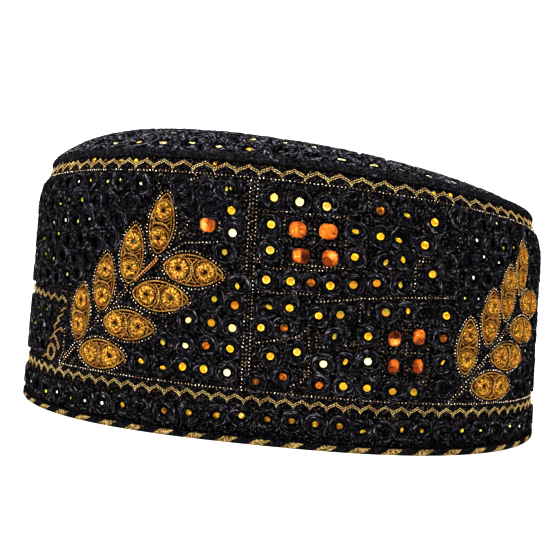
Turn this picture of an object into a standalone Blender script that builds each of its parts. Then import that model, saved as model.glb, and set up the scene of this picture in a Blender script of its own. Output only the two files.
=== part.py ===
"""Stiff oval skullcap: an upright side band, a low domed crown, a rolled welt over their seam,
a striped binding round the rim, and on the band raised gold leaf branches and small cut mirrors.

Metres, +Z up. The rim rests on z = 0 and is centred on the origin; the long way is X.
The ornament is laid out along the girth, from the middle of the front (-Y) towards +X.
"""
import functools
import math

import bmesh
import bpy
import numpy as np
from mathutils import Vector

# Driving sizes
HALF_LENGTH = 0.099
RIM_HALF_WIDTH = 0.079
SEAM_HALF_WIDTH = 0.092
SEAM_HEIGHT = 0.080
SEAM_LEAN = 0.0045
SHOULDER_INSET = 0.0035
WAIST = 0.0005
CROWN_RISE = 0.015
BAND_WALL = 0.0030
CROWN_WALL = 0.0018
WELT_DIAMETER = 0.0025
WELT_OVERHANG = 0.0010
BINDING_HEIGHT = 0.0022
BINDING_OUTSIDE = 0.0010
BINDING_INSIDE = 0.0006
LEAF_LENGTH = 0.0175
LEAF_WIDTH = 0.0086
LEAF_RELIEF = 0.0010
STEM_WIDTH = 0.0014
STALK_WIDTH = 0.0010
STEM_RELIEF = 0.0007
MIRROR_WIDTH = 0.0047
MIRROR_THICKNESS = 0.0009
CLEARANCE = 0.0003

# Form: plan curves as superellipse powers, the rest as shares
RIM_SQUARENESS = 2.5
SEAM_SQUARENESS = 2.1
SHOULDER_FROM = 0.8
CROWN_POWER = 5.75
CROWN_LEAN = -0.44
CROWN_RINGS = (0.955, 0.91, 0.84, 0.72, 0.45, 0.2)
BAND_LEVELS = (0.2, 0.4, 0.6, 0.8, 0.9)
LEAF_STATIONS = (0.0, 0.08, 0.3, 0.6, 0.85, 1.0)
LEAF_TIP = 0.12
LEAF_FULLNESS = 0.62
TABLE_SHARE = 0.55
GIRDLE_SHARE = 0.4
AROUND = 60
HALVES = 2

# Leaf branches: foot as a share of half the girth, leaves as shares of half the girth from
# the foot and of the seam height, turned from the girth's direction
BRANCH_FEET = (-0.226, 0.184)
STEM = {"low": 0.19, "high": 0.64, "run": 0.132}
LEAF_COLUMNS = ("along", "level", "turn")
LEAVES = (
    (0.033, 0.412, 82),
    (0.065, 0.536, 82),
    (0.099, 0.645, 82),
    (0.131, 0.759, 84),
    (0.064, 0.269, 0),
    (0.098, 0.391, 0),
    (0.134, 0.501, -2),
    (0.166, 0.611, -4),
)

# Mirrors: shares of half the girth from the front's middle, and of the seam height
MIRROR_COLUMNS = ("along", "level")
MIRRORS = (
    (-0.048, 0.772),
    (0.039, 0.791),
    (0.066, 0.791),
    (0.043, 0.705),
    (0.070, 0.705),
    (0.138, 0.436),
    (0.163, 0.447),
    (0.138, 0.335),
    (0.163, 0.340),
)

BLACK_CLOTH = (0.012, 0.011, 0.015)
GOLD_THREAD = (0.42, 0.22, 0.055)
GOLD_TAPE = (0.30, 0.17, 0.05)
ORANGE_MIRROR = (0.75, 0.17, 0.02)


def clear_scene():
    for obj in list(bpy.data.objects):
        bpy.data.objects.remove(obj, do_unlink=True)


def material(name, color, roughness, metallic):
    made = bpy.data.materials.new(name)
    made.use_nodes = True
    shader = made.node_tree.nodes["Principled BSDF"]
    shader.inputs["Base Color"].default_value = (*color, 1.0)
    shader.inputs["Roughness"].default_value = roughness
    shader.inputs["Metallic"].default_value = metallic
    return made


def add_object(name, mesh, finish, smooth_below=40):
    mesh.materials.append(finish)
    mesh.shade_smooth()
    mesh.set_sharp_from_angle(angle=math.radians(smooth_below))
    obj = bpy.data.objects.new(name, mesh)
    bpy.context.scene.collection.objects.link(obj)
    return obj


def mesh_of(name, points, faces):
    """A closed mesh from its points and faces, with its faces turned outwards."""
    mesh = bpy.data.meshes.new(name)
    shape = bmesh.new()
    corners = [shape.verts.new(point) for point in points]
    for face in faces:
        shape.faces.new([corners[i] for i in face])
    bmesh.ops.recalc_face_normals(shape, faces=shape.faces)
    shape.to_mesh(mesh)
    shape.free()
    return mesh


def plan_sizes(level, proud=0.0):
    """Half length, half width and power of the band's plan curve at a share of the seam height."""
    shoulder = max(0.0, (level - SHOULDER_FROM) / (1 - SHOULDER_FROM)) ** 2 * SHOULDER_INSET
    waist = WAIST * 4 * level * (1 - level)
    half_length = HALF_LENGTH - waist - shoulder + proud
    half_width = RIM_HALF_WIDTH + (SEAM_HALF_WIDTH - RIM_HALF_WIDTH) * level
    half_width += proud - waist - shoulder
    power = RIM_SQUARENESS + (SEAM_SQUARENESS - RIM_SQUARENESS) * level
    return half_length, half_width, power


def plan_curve(angles, half_length, half_width, power):
    """Superellipse: each axis times its cosine or sine, raised to 2 / power with its sign kept."""
    cosines, sines = np.cos(angles), np.sin(angles)
    x = half_length * np.sign(cosines) * np.abs(cosines) ** (2 / power)
    y = half_width * np.sign(sines) * np.abs(sines) ** (2 / power)
    return x, y


@functools.lru_cache(maxsize=None)
def arc_table(level):
    """Angles once round from the front's middle, and the length of the curve up to each."""
    angles = np.linspace(-math.pi / 2, 1.5 * math.pi, 721)
    x, y = plan_curve(angles, *plan_sizes(level))
    lengths = np.concatenate([[0.0], np.cumsum(np.hypot(np.diff(x), np.diff(y)))])
    return angles, lengths


def girth():
    return arc_table(0.0)[1][-1]


def angle_at(share, level):
    angles, lengths = arc_table(level)
    return np.interp((share % 1.0) * lengths[-1], lengths, angles)


def height_at(level, x):
    """The seam leans: it is higher at the -X end and lower at the +X end."""
    return level * (SEAM_HEIGHT - SEAM_LEAN * x / HALF_LENGTH)


def on_band(share, level):
    """A point of the band's outer face, by share of the girth and share of the seam height."""
    x, y = plan_curve(angle_at(share, level), *plan_sizes(level))
    return Vector((float(x), float(y), float(height_at(level, x))))


def off_band(share, level, proud):
    """The same point moved out of the face by proud, along the face's normal."""
    step = 0.004
    around = on_band(share + step, level) - on_band(share - step, level)
    upwards = on_band(share, level + step) - on_band(share, level - step)
    return on_band(share, level) + around.cross(upwards).normalized() * proud


def stations():
    """Angles of the facets' corners, equally spaced along the rim."""
    return np.array([angle_at(i / AROUND, 0.0) for i in range(AROUND)])


def ring(level, proud, lift=0.0):
    """One ring of points round the band at a level, moved out by proud and up by lift."""
    x, y = plan_curve(stations(), *plan_sizes(level, proud))
    return np.column_stack([x, y, height_at(level, x) + lift])


def loop_mesh(name, rings):
    """A closed ring-shaped solid whose cross-section is the loop of the given rings."""
    points = np.concatenate(rings)
    faces = []
    for row in range(len(rings)):
        below, above = row * AROUND, (row + 1) % len(rings) * AROUND
        for i in range(AROUND):
            after = (i + 1) % AROUND
            faces.append((below + i, below + after, above + after, above + i))
    return mesh_of(name, points, faces)


def make_edge_binding():
    """Tape folded over the rim: flat below, with its upper edges turned in."""
    outer = BINDING_OUTSIDE
    inner = -BAND_WALL - BINDING_INSIDE
    turn = BINDING_HEIGHT * 0.3
    rings = [
        ring(0.0, inner + turn),
        ring(0.0, outer - turn),
        ring(0.0, outer, turn),
        ring(0.0, outer, BINDING_HEIGHT - turn),
        ring(0.0, outer - turn, BINDING_HEIGHT),
        ring(0.0, inner + turn, BINDING_HEIGHT),
        ring(0.0, inner, BINDING_HEIGHT - turn),
        ring(0.0, inner, turn),
    ]
    finish = material("binding_tape", GOLD_TAPE, 0.55, 0.2)
    return add_object("edge_binding", loop_mesh("edge_binding", rings), finish)


def make_side_band():
    lowest = (BINDING_HEIGHT + CLEARANCE) / SEAM_HEIGHT
    highest = 1.0 - CLEARANCE / SEAM_HEIGHT
    levels = [lowest, *BAND_LEVELS, highest]
    rings = [ring(level, 0.0) for level in levels]
    rings += [ring(level, -BAND_WALL) for level in reversed(levels)]
    finish = material("band_cloth", BLACK_CLOTH, 0.8, 0.0)
    return add_object("side_band", loop_mesh("side_band", rings), finish)


def make_crown_welt():
    """A rolled rib that lies on the seam and stands a little out over the band."""
    radius = WELT_DIAMETER / 2
    centre = WELT_OVERHANG - radius
    rings = []
    for turn in np.linspace(0.0, 2 * math.pi, 8, endpoint=False):
        out, up = math.cos(turn) * radius, math.sin(turn) * radius
        rings.append(ring(1.0, centre + out, radius + up))
    finish = material("welt_cloth", BLACK_CLOTH, 0.7, 0.0)
    return add_object("crown_welt", loop_mesh("crown_welt", rings), finish)


def crown_edge_share():
    """The crown's edge as a share of the seam curve: just inside the welt."""
    _, half_width, _ = plan_sizes(1.0, WELT_OVERHANG)
    return 1.0 - (WELT_DIAMETER + CLEARANCE) / half_width


def crown_ring(share):
    """The seam curve drawn in to a share, raised by the dome, fuller towards -X."""
    x, y = plan_curve(stations(), *plan_sizes(1.0, WELT_OVERHANG))
    x, y = x * share, y * share
    rise = CROWN_RISE * (1 - share**CROWN_POWER) * (1 + CROWN_LEAN * x / HALF_LENGTH)
    return np.column_stack([x, y, height_at(1.0, x) + rise])


def make_crown():
    edge = crown_edge_share()
    top = [crown_ring(share) for share in (edge, *CROWN_RINGS)]
    seat = top[0].copy()
    seat[:, 2] = height_at(1.0, seat[:, 0])
    drop = np.array([0.0, 0.0, CROWN_WALL])
    under = [seat] + [points - drop for points in top[1:]]
    for points in under[1:]:
        points[:, 2] = np.maximum(points[:, 2], height_at(1.0, points[:, 0]))
    rings = [*reversed(under), *top]
    apex = Vector((0.0, 0.0, SEAM_HEIGHT + CROWN_RISE))
    points = [*np.concatenate(rings), apex - Vector(drop), apex]
    below, above = len(points) - 2, len(points) - 1
    last = (len(rings) - 1) * AROUND
    faces = []
    for i in range(AROUND):
        after = (i + 1) % AROUND
        faces.append((i, after, below))
        faces.append((last + i, above, last + after))
        for row in range(len(rings) - 1):
            start, end = row * AROUND, (row + 1) * AROUND
            faces.append((start + i, start + after, end + after, end + i))
    finish = material("crown_cloth", BLACK_CLOTH, 0.8, 0.0)
    return add_object("crown", mesh_of("crown", points, faces), finish)


def strip_mesh(name, sections):
    """A closed strip from equal cross-sections, each a loop of points, with its ends filled."""
    size = len(sections[0])
    points = [point for section in sections for point in section]
    faces = [tuple(range(size)), tuple(range(len(points) - size, len(points)))]
    for row in range(len(sections) - 1):
        start, end = row * size, (row + 1) * size
        for i in range(size):
            after = (i + 1) % size
            faces.append((start + i, start + after, end + after, end + i))
    return mesh_of(name, points, faces)


def leaf_mesh():
    """A padded leaf lying flat along X, its middle at the origin, its relief along Z."""
    sections = []
    for along in LEAF_STATIONS:
        half = LEAF_WIDTH / 2 * max(LEAF_TIP, (4 * along * (1 - along)) ** LEAF_FULLNESS)
        x = (along - 0.5) * LEAF_LENGTH
        side, crown = LEAF_RELIEF * 0.5, LEAF_RELIEF * (0.6 + 0.8 * half / LEAF_WIDTH)
        sections.append([
            (x, -half, 0.0), (x, 0.0, 0.0), (x, half, 0.0),
            (x, half, side), (x, 0.0, crown), (x, -half, side),
        ])
    return strip_mesh("leaf", sections)


def cord_mesh(start, end, width, bottom):
    """A flat-bottomed cord between two points of the flat layout, cut every few millimetres."""
    run = end - start
    side = Vector((-run.y, run.x, 0.0)).normalized() * width / 2
    pieces = max(1, round(run.length / (LEAF_LENGTH / 3)))
    low, high = Vector((0, 0, bottom)), Vector((0, 0, bottom + STEM_RELIEF))
    sections = []
    for i in range(pieces + 1):
        middle = start + run * i / pieces
        sections.append([
            middle - side + low, middle + side + low,
            middle + side * 0.5 + high, middle - side * 0.5 + high,
        ])
    return strip_mesh("cord", sections)


def branch_mesh():
    """The branch in the flat: a stem, and each leaf tied to it by its stalk, fused in one."""
    half_girth = girth() / HALVES
    foot = Vector((0.0, STEM["low"] * SEAM_HEIGHT, 0.0))
    tip = Vector((STEM["run"] * half_girth, STEM["high"] * SEAM_HEIGHT, 0.0))
    shapes = [cord_mesh(foot, tip, STEM_WIDTH, STEM_RELIEF * 0.06)]
    for row in LEAVES:
        leaf = dict(zip(LEAF_COLUMNS, row))
        middle = Vector((leaf["along"] * half_girth, leaf["level"] * SEAM_HEIGHT, 0.0))
        turn = math.radians(leaf["turn"])
        along = Vector((math.cos(turn), math.sin(turn), 0.0))
        base = middle - along * LEAF_LENGTH * 0.4
        direction = (tip - foot).normalized()
        back = (base - foot).dot(direction) - LEAF_LENGTH * 0.15
        root = foot + direction * min(max(back, 0.0), (tip - foot).length)
        shapes.append(cord_mesh(root, base, STALK_WIDTH, STEM_RELIEF * 0.12))
        pad = leaf_mesh()
        for vertex in pad.vertices:
            local = vertex.co.copy()
            across = Vector((-along.y, along.x, 0.0))
            vertex.co = middle + along * local.x + across * local.y + Vector((0, 0, local.z))
        shapes.append(pad)
    helpers = [bpy.data.objects.new("shape", shape) for shape in shapes]
    for helper in helpers:
        bpy.context.scene.collection.objects.link(helper)
    for helper in helpers[1:]:
        union = helpers[0].modifiers.new("union", "BOOLEAN")
        union.operation = "UNION"
        union.object = helper
    graph = bpy.context.evaluated_depsgraph_get()
    fused = bpy.data.meshes.new_from_object(helpers[0].evaluated_get(graph))
    for helper in helpers:
        bpy.data.objects.remove(helper, do_unlink=True)
    return fused


def lay_on_band(mesh, share):
    """Bends a flat layout onto the band: its X along the girth, its Y up, its Z out."""
    shape = bmesh.new()
    shape.from_mesh(mesh)
    bmesh.ops.triangulate(shape, faces=shape.faces)
    for vertex in shape.verts:
        x, y, z = vertex.co
        vertex.co = off_band(share + x / girth(), y / SEAM_HEIGHT, CLEARANCE + z)
    shape.to_mesh(mesh)
    shape.free()
    return mesh


def make_leaf_branches():
    flat = branch_mesh()
    finish = material("gold_thread", GOLD_THREAD, 0.45, 0.3)
    feet = [half / HALVES + foot / HALVES for half in range(HALVES) for foot in BRANCH_FEET]
    for number, foot in enumerate(feet, start=1):
        add_object(f"leaf_branch_{number}", lay_on_band(flat.copy(), foot), finish)
    bpy.data.meshes.remove(flat)


def mirror_mesh(level):
    """A round cut mirror lying flat at a level: a flat back, a girdle and a small table."""
    sides = 8
    radius = MIRROR_WIDTH / 2
    rows = (
        (radius * 0.97, 0.0),
        (radius, MIRROR_THICKNESS * GIRDLE_SHARE),
        (radius * TABLE_SHARE, MIRROR_THICKNESS),
    )
    sections = []
    for reach, lift in rows:
        turns = [2 * math.pi * (i + 0.5) / sides for i in range(sides)]
        sections.append([
            (math.cos(t) * reach, level * SEAM_HEIGHT + math.sin(t) * reach, lift) for t in turns
        ])
    return strip_mesh("mirror", sections)


def make_mirrors():
    finish = material("orange_mirror", ORANGE_MIRROR, 0.15, 0.8)
    number = 0
    for half in range(HALVES):
        for row in MIRRORS:
            place = dict(zip(MIRROR_COLUMNS, row))
            number += 1
            share = (half + place["along"]) / HALVES
            mesh = lay_on_band(mirror_mesh(place["level"]), share)
            add_object(f"mirror_{number}", mesh, finish, smooth_below=10)


clear_scene()
make_edge_binding()
make_side_band()
make_crown_welt()
make_crown()
make_leaf_branches()
make_mirrors()
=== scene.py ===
"""Looks of the stiff oval skullcap: black cord rings, sequins, gold leaf branches, cut mirrors."""
import math

import bpy
import numpy as np
from mathutils import Matrix, Vector


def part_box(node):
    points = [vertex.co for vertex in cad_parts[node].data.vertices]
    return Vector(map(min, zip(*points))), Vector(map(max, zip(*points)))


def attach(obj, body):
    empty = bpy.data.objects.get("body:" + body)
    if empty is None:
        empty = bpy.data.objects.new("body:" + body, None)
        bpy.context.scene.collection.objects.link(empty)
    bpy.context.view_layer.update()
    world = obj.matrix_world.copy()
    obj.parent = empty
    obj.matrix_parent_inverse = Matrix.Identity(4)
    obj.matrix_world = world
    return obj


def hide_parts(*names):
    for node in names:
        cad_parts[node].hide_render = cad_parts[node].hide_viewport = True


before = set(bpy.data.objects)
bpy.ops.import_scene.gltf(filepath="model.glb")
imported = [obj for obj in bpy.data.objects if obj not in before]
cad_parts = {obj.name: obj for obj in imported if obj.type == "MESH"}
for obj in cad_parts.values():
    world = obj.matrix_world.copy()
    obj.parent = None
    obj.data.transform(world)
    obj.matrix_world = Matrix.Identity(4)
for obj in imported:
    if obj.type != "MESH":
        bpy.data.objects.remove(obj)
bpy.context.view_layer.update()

# Camera and studio: the photograph's viewpoint, close to the cap and a little above its rim,
# before a white sweep under soft lamps. These are no part of the cap.
MM = 0.001
CAMERA_AZIMUTH = math.radians(5.62)
CAMERA_DISTANCE = 240.14 * MM
CAMERA_HEIGHT = 47.16 * MM
CAMERA_YAW, CAMERA_PITCH, CAMERA_ROLL = math.radians(0.49), math.radians(-0.44), math.radians(4.12)
FOCAL_PIXELS, PICTURE_PIXELS = 552.67, 560


def place_camera():
    """The camera looks level at the cap's axis, then turns by yaw, pitch and roll, in that order."""
    sine, cosine = math.sin(CAMERA_AZIMUTH), math.cos(CAMERA_AZIMUTH)
    level = Matrix(((cosine, sine, 0), (0, 0, -1), (-sine, cosine, 0)))
    turns = (
        Matrix.Rotation(CAMERA_ROLL, 3, "Z")
        @ Matrix.Rotation(CAMERA_PITCH, 3, "X")
        @ Matrix.Rotation(CAMERA_YAW, 3, "Y")
    )
    right, down, forward = (turns @ level)[:]
    camera = bpy.data.objects.new("camera", bpy.data.cameras.new("camera"))
    camera.data.lens = FOCAL_PIXELS / PICTURE_PIXELS * camera.data.sensor_width
    camera.data.clip_start = 0.01
    turned = Matrix((right, -down, -forward)).transposed().to_4x4()
    eye = Vector((sine * CAMERA_DISTANCE, -cosine * CAMERA_DISTANCE, CAMERA_HEIGHT))
    camera.matrix_world = Matrix.Translation(eye) @ turned
    bpy.context.scene.collection.objects.link(camera)
    bpy.context.scene.camera = camera


def soft_lamp(name, azimuth, elevation, distance, size, watts):
    """A square lamp that faces the cap's middle from a direction."""
    lamp = bpy.data.lights.new(name, "AREA")
    lamp.size = size
    lamp.energy = watts
    obj = bpy.data.objects.new(name, lamp)
    aim = Vector((0, 0, 0.05))
    turn, rise = math.radians(azimuth), math.radians(elevation)
    away = Vector((math.sin(turn) * math.cos(rise), -math.cos(turn) * math.cos(rise), math.sin(rise)))
    facing = away.to_track_quat("Z", "Y").to_matrix().to_4x4()
    obj.matrix_world = Matrix.Translation(aim + away * distance) @ facing
    bpy.context.scene.collection.objects.link(obj)


def plain_finish(name, color, roughness, metallic=0.0):
    """A material of one colour, roughness and metalness, which the piece's own finish refines."""
    finish = bpy.data.materials.new(name)
    finish.use_nodes = True
    shader = finish.node_tree.nodes["Principled BSDF"]
    shader.inputs["Base Color"].default_value = (*color, 1)
    shader.inputs["Roughness"].default_value = roughness
    shader.inputs["Metallic"].default_value = metallic
    return finish


def mesh_from(name, points, face_sets):
    """A mesh from an array of points and arrays of faces, each array with its own face size."""
    mesh = bpy.data.meshes.new(name)
    loops = np.concatenate([faces.ravel() for faces in face_sets]).astype(np.int32)
    sizes = np.concatenate([np.full(len(faces), faces.shape[1]) for faces in face_sets])
    starts = np.concatenate([[0], np.cumsum(sizes)[:-1]]).astype(np.int32)
    mesh.vertices.add(len(points))
    mesh.vertices.foreach_set("co", np.ascontiguousarray(points, np.float32).ravel())
    mesh.loops.add(len(loops))
    mesh.loops.foreach_set("vertex_index", loops)
    mesh.polygons.add(len(starts))
    mesh.polygons.foreach_set("loop_start", starts)
    mesh.update(calc_edges=True)
    return mesh, loops


def grid_faces(rows, columns, closed_rows=False, closed_columns=False):
    """Quads over a grid of rows by columns of points, numbered row by row."""
    row = np.arange(rows if closed_rows else rows - 1)[:, None]
    column = np.arange(columns if closed_columns else columns - 1)[None, :]
    next_row, next_column = (row + 1) % rows, (column + 1) % columns
    corners = [
        row * columns + column,
        row * columns + next_column,
        next_row * columns + next_column,
        next_row * columns + column,
    ]
    size = (len(row), column.shape[1])
    return np.stack([np.broadcast_to(corner, size) for corner in corners], -1).reshape(-1, 4)


def add_piece(name, points, face_sets, finish, replaces=(), uv=None, tint=None, smooth=True):
    """One object of the cap: its mesh, with a UV pair and a tint for each point where they are given."""
    mesh, loops = mesh_from(name, points, face_sets)
    if uv is not None:
        layer = mesh.uv_layers.new(name="layout")
        layer.data.foreach_set("uv", np.ascontiguousarray(uv[loops], np.float32).ravel())
    if tint is not None:
        mesh.attributes.new("tint", "FLOAT", "POINT").data.foreach_set("value", tint.astype(np.float32))
    if smooth:
        mesh.shade_smooth()
    mesh.materials.append(finish)
    obj = bpy.data.objects.new(name, mesh)
    bpy.context.scene.collection.objects.link(obj)
    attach(obj, "root")
    if replaces:
        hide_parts(*replaces)
    return obj


def make_surround():
    """A white floor that bends up all round the cap: a profile turned round the upright axis."""
    bend, floor_reach, top = 0.5, 1.3, 1.9
    turn = np.linspace(0, math.pi / 2, 10)
    reach = np.concatenate([[0.15], floor_reach + bend * np.sin(turn), [floor_reach + bend]])
    height = np.concatenate([[0], bend - bend * np.cos(turn), [top]])
    around = np.arange(64) / 64 * 2 * math.pi
    x, y = reach[:, None] * np.cos(around), reach[:, None] * np.sin(around)
    points = np.stack(np.broadcast_arrays(x, y, height[:, None]), -1)
    faces = grid_faces(len(reach), 64, closed_columns=True)[:, ::-1]
    mesh, _ = mesh_from("surround", points.reshape(-1, 3), [faces, np.arange(64)[None]])
    mesh.shade_smooth()
    paper = plain_finish("surround_paper", (0.9, 0.9, 0.9), 0.9)
    shader = paper.node_tree.nodes["Principled BSDF"]
    shader.inputs["Emission Color"].default_value = (1, 1, 1, 1)
    shader.inputs["Emission Strength"].default_value = 0.5
    mesh.materials.append(paper)
    obj = bpy.data.objects.new("surround", mesh)
    bpy.context.scene.collection.objects.link(obj)


place_camera()
make_surround()
soft_lamp("lamp_above", -22, 58, 0.9, 0.35, 12)
soft_lamp("lamp_left", -60, 26, 0.8, 0.2, 3.5)
soft_lamp("lamp_right", 60, 32, 0.9, 0.2, 3.5)
soft_lamp("lamp_back", 170, 50, 1.0, 0.5, 5)
world = bpy.data.worlds.new("studio")
world.use_nodes = True
world.node_tree.nodes["Background"].inputs["Color"].default_value = (1, 1, 1, 1)
world.node_tree.nodes["Background"].inputs["Strength"].default_value = 0.25
bpy.context.scene.world = world
bpy.context.scene.view_settings.view_transform = "Standard"

# Side band: one stiffened wall of black satin-stitched cotton, set upright on the binding.
# Its plan is a rounded oval that grows rounder and wider towards the leaning seam.
BINDING_STANDS_OUT = 1.0 * MM
BINDING_LOW, BINDING_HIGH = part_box("edge_binding")
HALF_LENGTH = BINDING_HIGH.x - BINDING_STANDS_OUT
RIM_HALF_WIDTH = BINDING_HIGH.y - BINDING_STANDS_OUT
SEAM_HALF_WIDTH = 92.0 * MM
SEAM_HEIGHT = 80.0 * MM
SEAM_LEAN = 4.5 * MM
SHOULDER_INSET, SHOULDER_FROM = 3.5 * MM, 0.8
WAIST = 0.5 * MM
RIM_POWER, SEAM_POWER = 2.5, 2.1
BAND_WALL = 3.0 * MM
TOP_OF_CHART = 1.04
rng = np.random.default_rng(7)


def plan_sizes(level, proud=0.0):
    """Half length, half width and power of the plan curve at shares of the seam height."""
    shoulder = np.clip((level - SHOULDER_FROM) / (1 - SHOULDER_FROM), 0, None) ** 2 * SHOULDER_INSET
    inset = WAIST * 4 * level * (1 - level) + shoulder - proud
    half_width = RIM_HALF_WIDTH + (SEAM_HALF_WIDTH - RIM_HALF_WIDTH) * level
    return HALF_LENGTH - inset, half_width - inset, RIM_POWER + (SEAM_POWER - RIM_POWER) * level


def plan_curve(angle, level, proud=0.0):
    """Superellipse: half length by cosine to 2 / power and half width by sine to 2 / power."""
    half_length, half_width, power = plan_sizes(level, proud)
    cosine, sine = np.cos(angle), np.sin(angle)
    x = half_length * np.sign(cosine) * np.abs(cosine) ** (2 / power)
    y = half_width * np.sign(sine) * np.abs(sine) ** (2 / power)
    return x, y


def seam_lift(level, x):
    """Height at a share of the seam height: the seam leans down towards +X."""
    return level * (SEAM_HEIGHT - SEAM_LEAN * x / HALF_LENGTH)


def chart_of_band():
    """Angle of the plan curve by level and share of the girth, and each level's girth."""
    levels = np.linspace(-0.04, TOP_OF_CHART, 55)
    shares = np.linspace(0, 1, 1441)
    angles = np.linspace(-math.pi / 2, 1.5 * math.pi, 2881)
    table, girths = [], []
    for level in levels:
        x, y = plan_curve(angles, level)
        length = np.concatenate([[0], np.cumsum(np.hypot(np.diff(x), np.diff(y)))])
        table.append(np.interp(shares * length[-1], length, angles))
        girths.append(length[-1])
    return levels, shares, np.array(table), np.array(girths)


CHART_LEVELS, CHART_SHARES, CHART_ANGLES, LEVEL_GIRTHS = chart_of_band()
GIRTH = np.interp(0.0, CHART_LEVELS, LEVEL_GIRTHS)
HALF_GIRTH = GIRTH / 2


def at_rim(places):
    """Places measured along the wall at their own height, brought to the rim's shorter girth."""
    girth = np.interp(places[:, 1] / SEAM_HEIGHT, CHART_LEVELS, LEVEL_GIRTHS)
    return np.column_stack([places[:, 0] * GIRTH / girth, places[:, 1:]])


def band_angle(share, level):
    """The chart read between its lines, along the girth and then up the wall."""
    across = (share % 1.0) * (len(CHART_SHARES) - 1)
    up = (level - CHART_LEVELS[0]) / (CHART_LEVELS[1] - CHART_LEVELS[0])
    i = np.clip(across.astype(int), 0, len(CHART_SHARES) - 2)
    j = np.clip(up.astype(int), 0, len(CHART_LEVELS) - 2)
    u, v = across - i, np.clip(up - j, 0, 1)
    low = CHART_ANGLES[j, i] * (1 - u) + CHART_ANGLES[j, i + 1] * u
    high = CHART_ANGLES[j + 1, i] * (1 - u) + CHART_ANGLES[j + 1, i + 1] * u
    return low * (1 - v) + high * v


def on_band(share, level):
    """The wall's outer face: the plan curve of the level, lifted by the leaning seam."""
    x, y = plan_curve(band_angle(share, level), level)
    return np.stack([x, y, seam_lift(level, x)], -1)


def lay_on_band(flat):
    """Flat points (along the girth, up, out) bent onto the wall: out follows the wall's normal."""
    share, level = flat[..., 0] / GIRTH, flat[..., 1] / SEAM_HEIGHT
    step = 0.003
    around = on_band(share + step, level) - on_band(share - step, level)
    upwards = on_band(share, level + step) - on_band(share, level - step)
    normal = np.cross(around, upwards)
    normal /= np.linalg.norm(normal, axis=-1, keepdims=True)
    return on_band(share, level) + normal * flat[..., 2:3]


class Nodes:
    """Short words for building a material's node tree."""

    def __init__(self, finish):
        self.tree = finish.node_tree
        self.shader = self.tree.nodes["Principled BSDF"]

    def add(self, kind, inputs=(), **settings):
        node = self.tree.nodes.new(kind)
        for name, value in settings.items():
            setattr(node, name, value)
        for socket, value in dict(inputs).items():
            if isinstance(value, bpy.types.NodeSocket):
                self.tree.links.new(value, node.inputs[socket])
            else:
                node.inputs[socket].default_value = value
        return node

    def coordinate(self, kind="Object"):
        return self.add("ShaderNodeTexCoord").outputs[kind]

    def noise(self, vector, scale, detail=3.0, roughness=0.6):
        values = {"Vector": vector, "Scale": scale, "Detail": detail, "Roughness": roughness}
        return self.add("ShaderNodeTexNoise", values).outputs["Fac"]

    def math(self, operation, first, second=0.0, clamp=False):
        made = self.add("ShaderNodeMath", {0: first, 1: second}, operation=operation, use_clamp=clamp)
        return made.outputs[0]

    def ramp(self, factor, *stops):
        """Colours by position: each stop is (position, (r, g, b))."""
        node = self.add("ShaderNodeValToRGB", {"Fac": factor})
        while len(node.color_ramp.elements) < len(stops):
            node.color_ramp.elements.new(0.5)
        for element, (position, color) in zip(node.color_ramp.elements, stops):
            element.position = position
            element.color = (*color, 1)
        return node.outputs["Color"]

    def mix(self, factor, first, second):
        node = self.add("ShaderNodeMix", data_type="RGBA")
        for socket, value in ((0, factor), (6, first), (7, second)):
            if isinstance(value, bpy.types.NodeSocket):
                self.tree.links.new(value, node.inputs[socket])
            else:
                node.inputs[socket].default_value = value if socket == 0 else (*value, 1)
        return node.outputs[2]

    def join(self, socket, value):
        self.tree.links.new(value, self.shader.inputs[socket])

    def bump(self, height, strength, distance):
        values = {"Height": height, "Strength": strength, "Distance": distance}
        self.join("Normal", self.add("ShaderNodeBump", values).outputs["Normal"])


def band_cloth():
    """Black satin stitching, uneven in tone, its palest flecks a painted sheen, with sparse gold specks
    between the ornaments.
    """
    finish = plain_finish("band_cloth", (0.004, 0.004, 0.005), 0.5)
    nodes = Nodes(finish)
    nodes.shader.inputs["Specular IOR Level"].default_value = 0.0
    place = nodes.coordinate()
    grain = nodes.noise(place, 1500, 3, 0.7)
    # Painted sheen: the palest stops stand in for light on the satin, as the cloth has no specular of
    # its own.
    dark = nodes.ramp(grain, (0.42, (0.0002, 0.0002, 0.0003)), (0.53, (0.0014, 0.0013, 0.0016)),
                      (0.61, (0.009, 0.0085, 0.010)), (0.74, (0.11, 0.10, 0.11)))
    specks = nodes.noise(place, 1450, 1)
    gold = nodes.math("MULTIPLY", nodes.math("SUBTRACT", specks, 0.705), 18.0, clamp=True)
    hue = nodes.ramp(nodes.noise(place, 300, 1), (0.4, (0.16, 0.045, 0.01)), (0.6, (0.25, 0.15, 0.04)))
    nodes.join("Base Color", nodes.mix(gold, dark, hue))
    nodes.bump(grain, 1.0, 0.0008)
    return finish


def make_side_band():
    """The wall's outline runs up the outer face and down the inner one, carried round the girth."""
    up = np.linspace(BINDING_HIGH.z / SEAM_HEIGHT, 1.0, 25)
    level = np.concatenate([up, up[::-1]])
    out = np.concatenate([np.zeros(25), np.full(25, -BAND_WALL)])
    share = np.arange(360) / 360
    along, height = share[None, :] * GIRTH, level[:, None] * SEAM_HEIGHT
    flat = np.stack(np.broadcast_arrays(along, height, out[:, None]), -1)
    faces = grid_faces(len(level), len(share), closed_rows=True, closed_columns=True)
    points = lay_on_band(flat).reshape(-1, 3)
    add_piece("side_band_cloth", points, [faces], band_cloth(), ["side_band"])


make_side_band()
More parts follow.
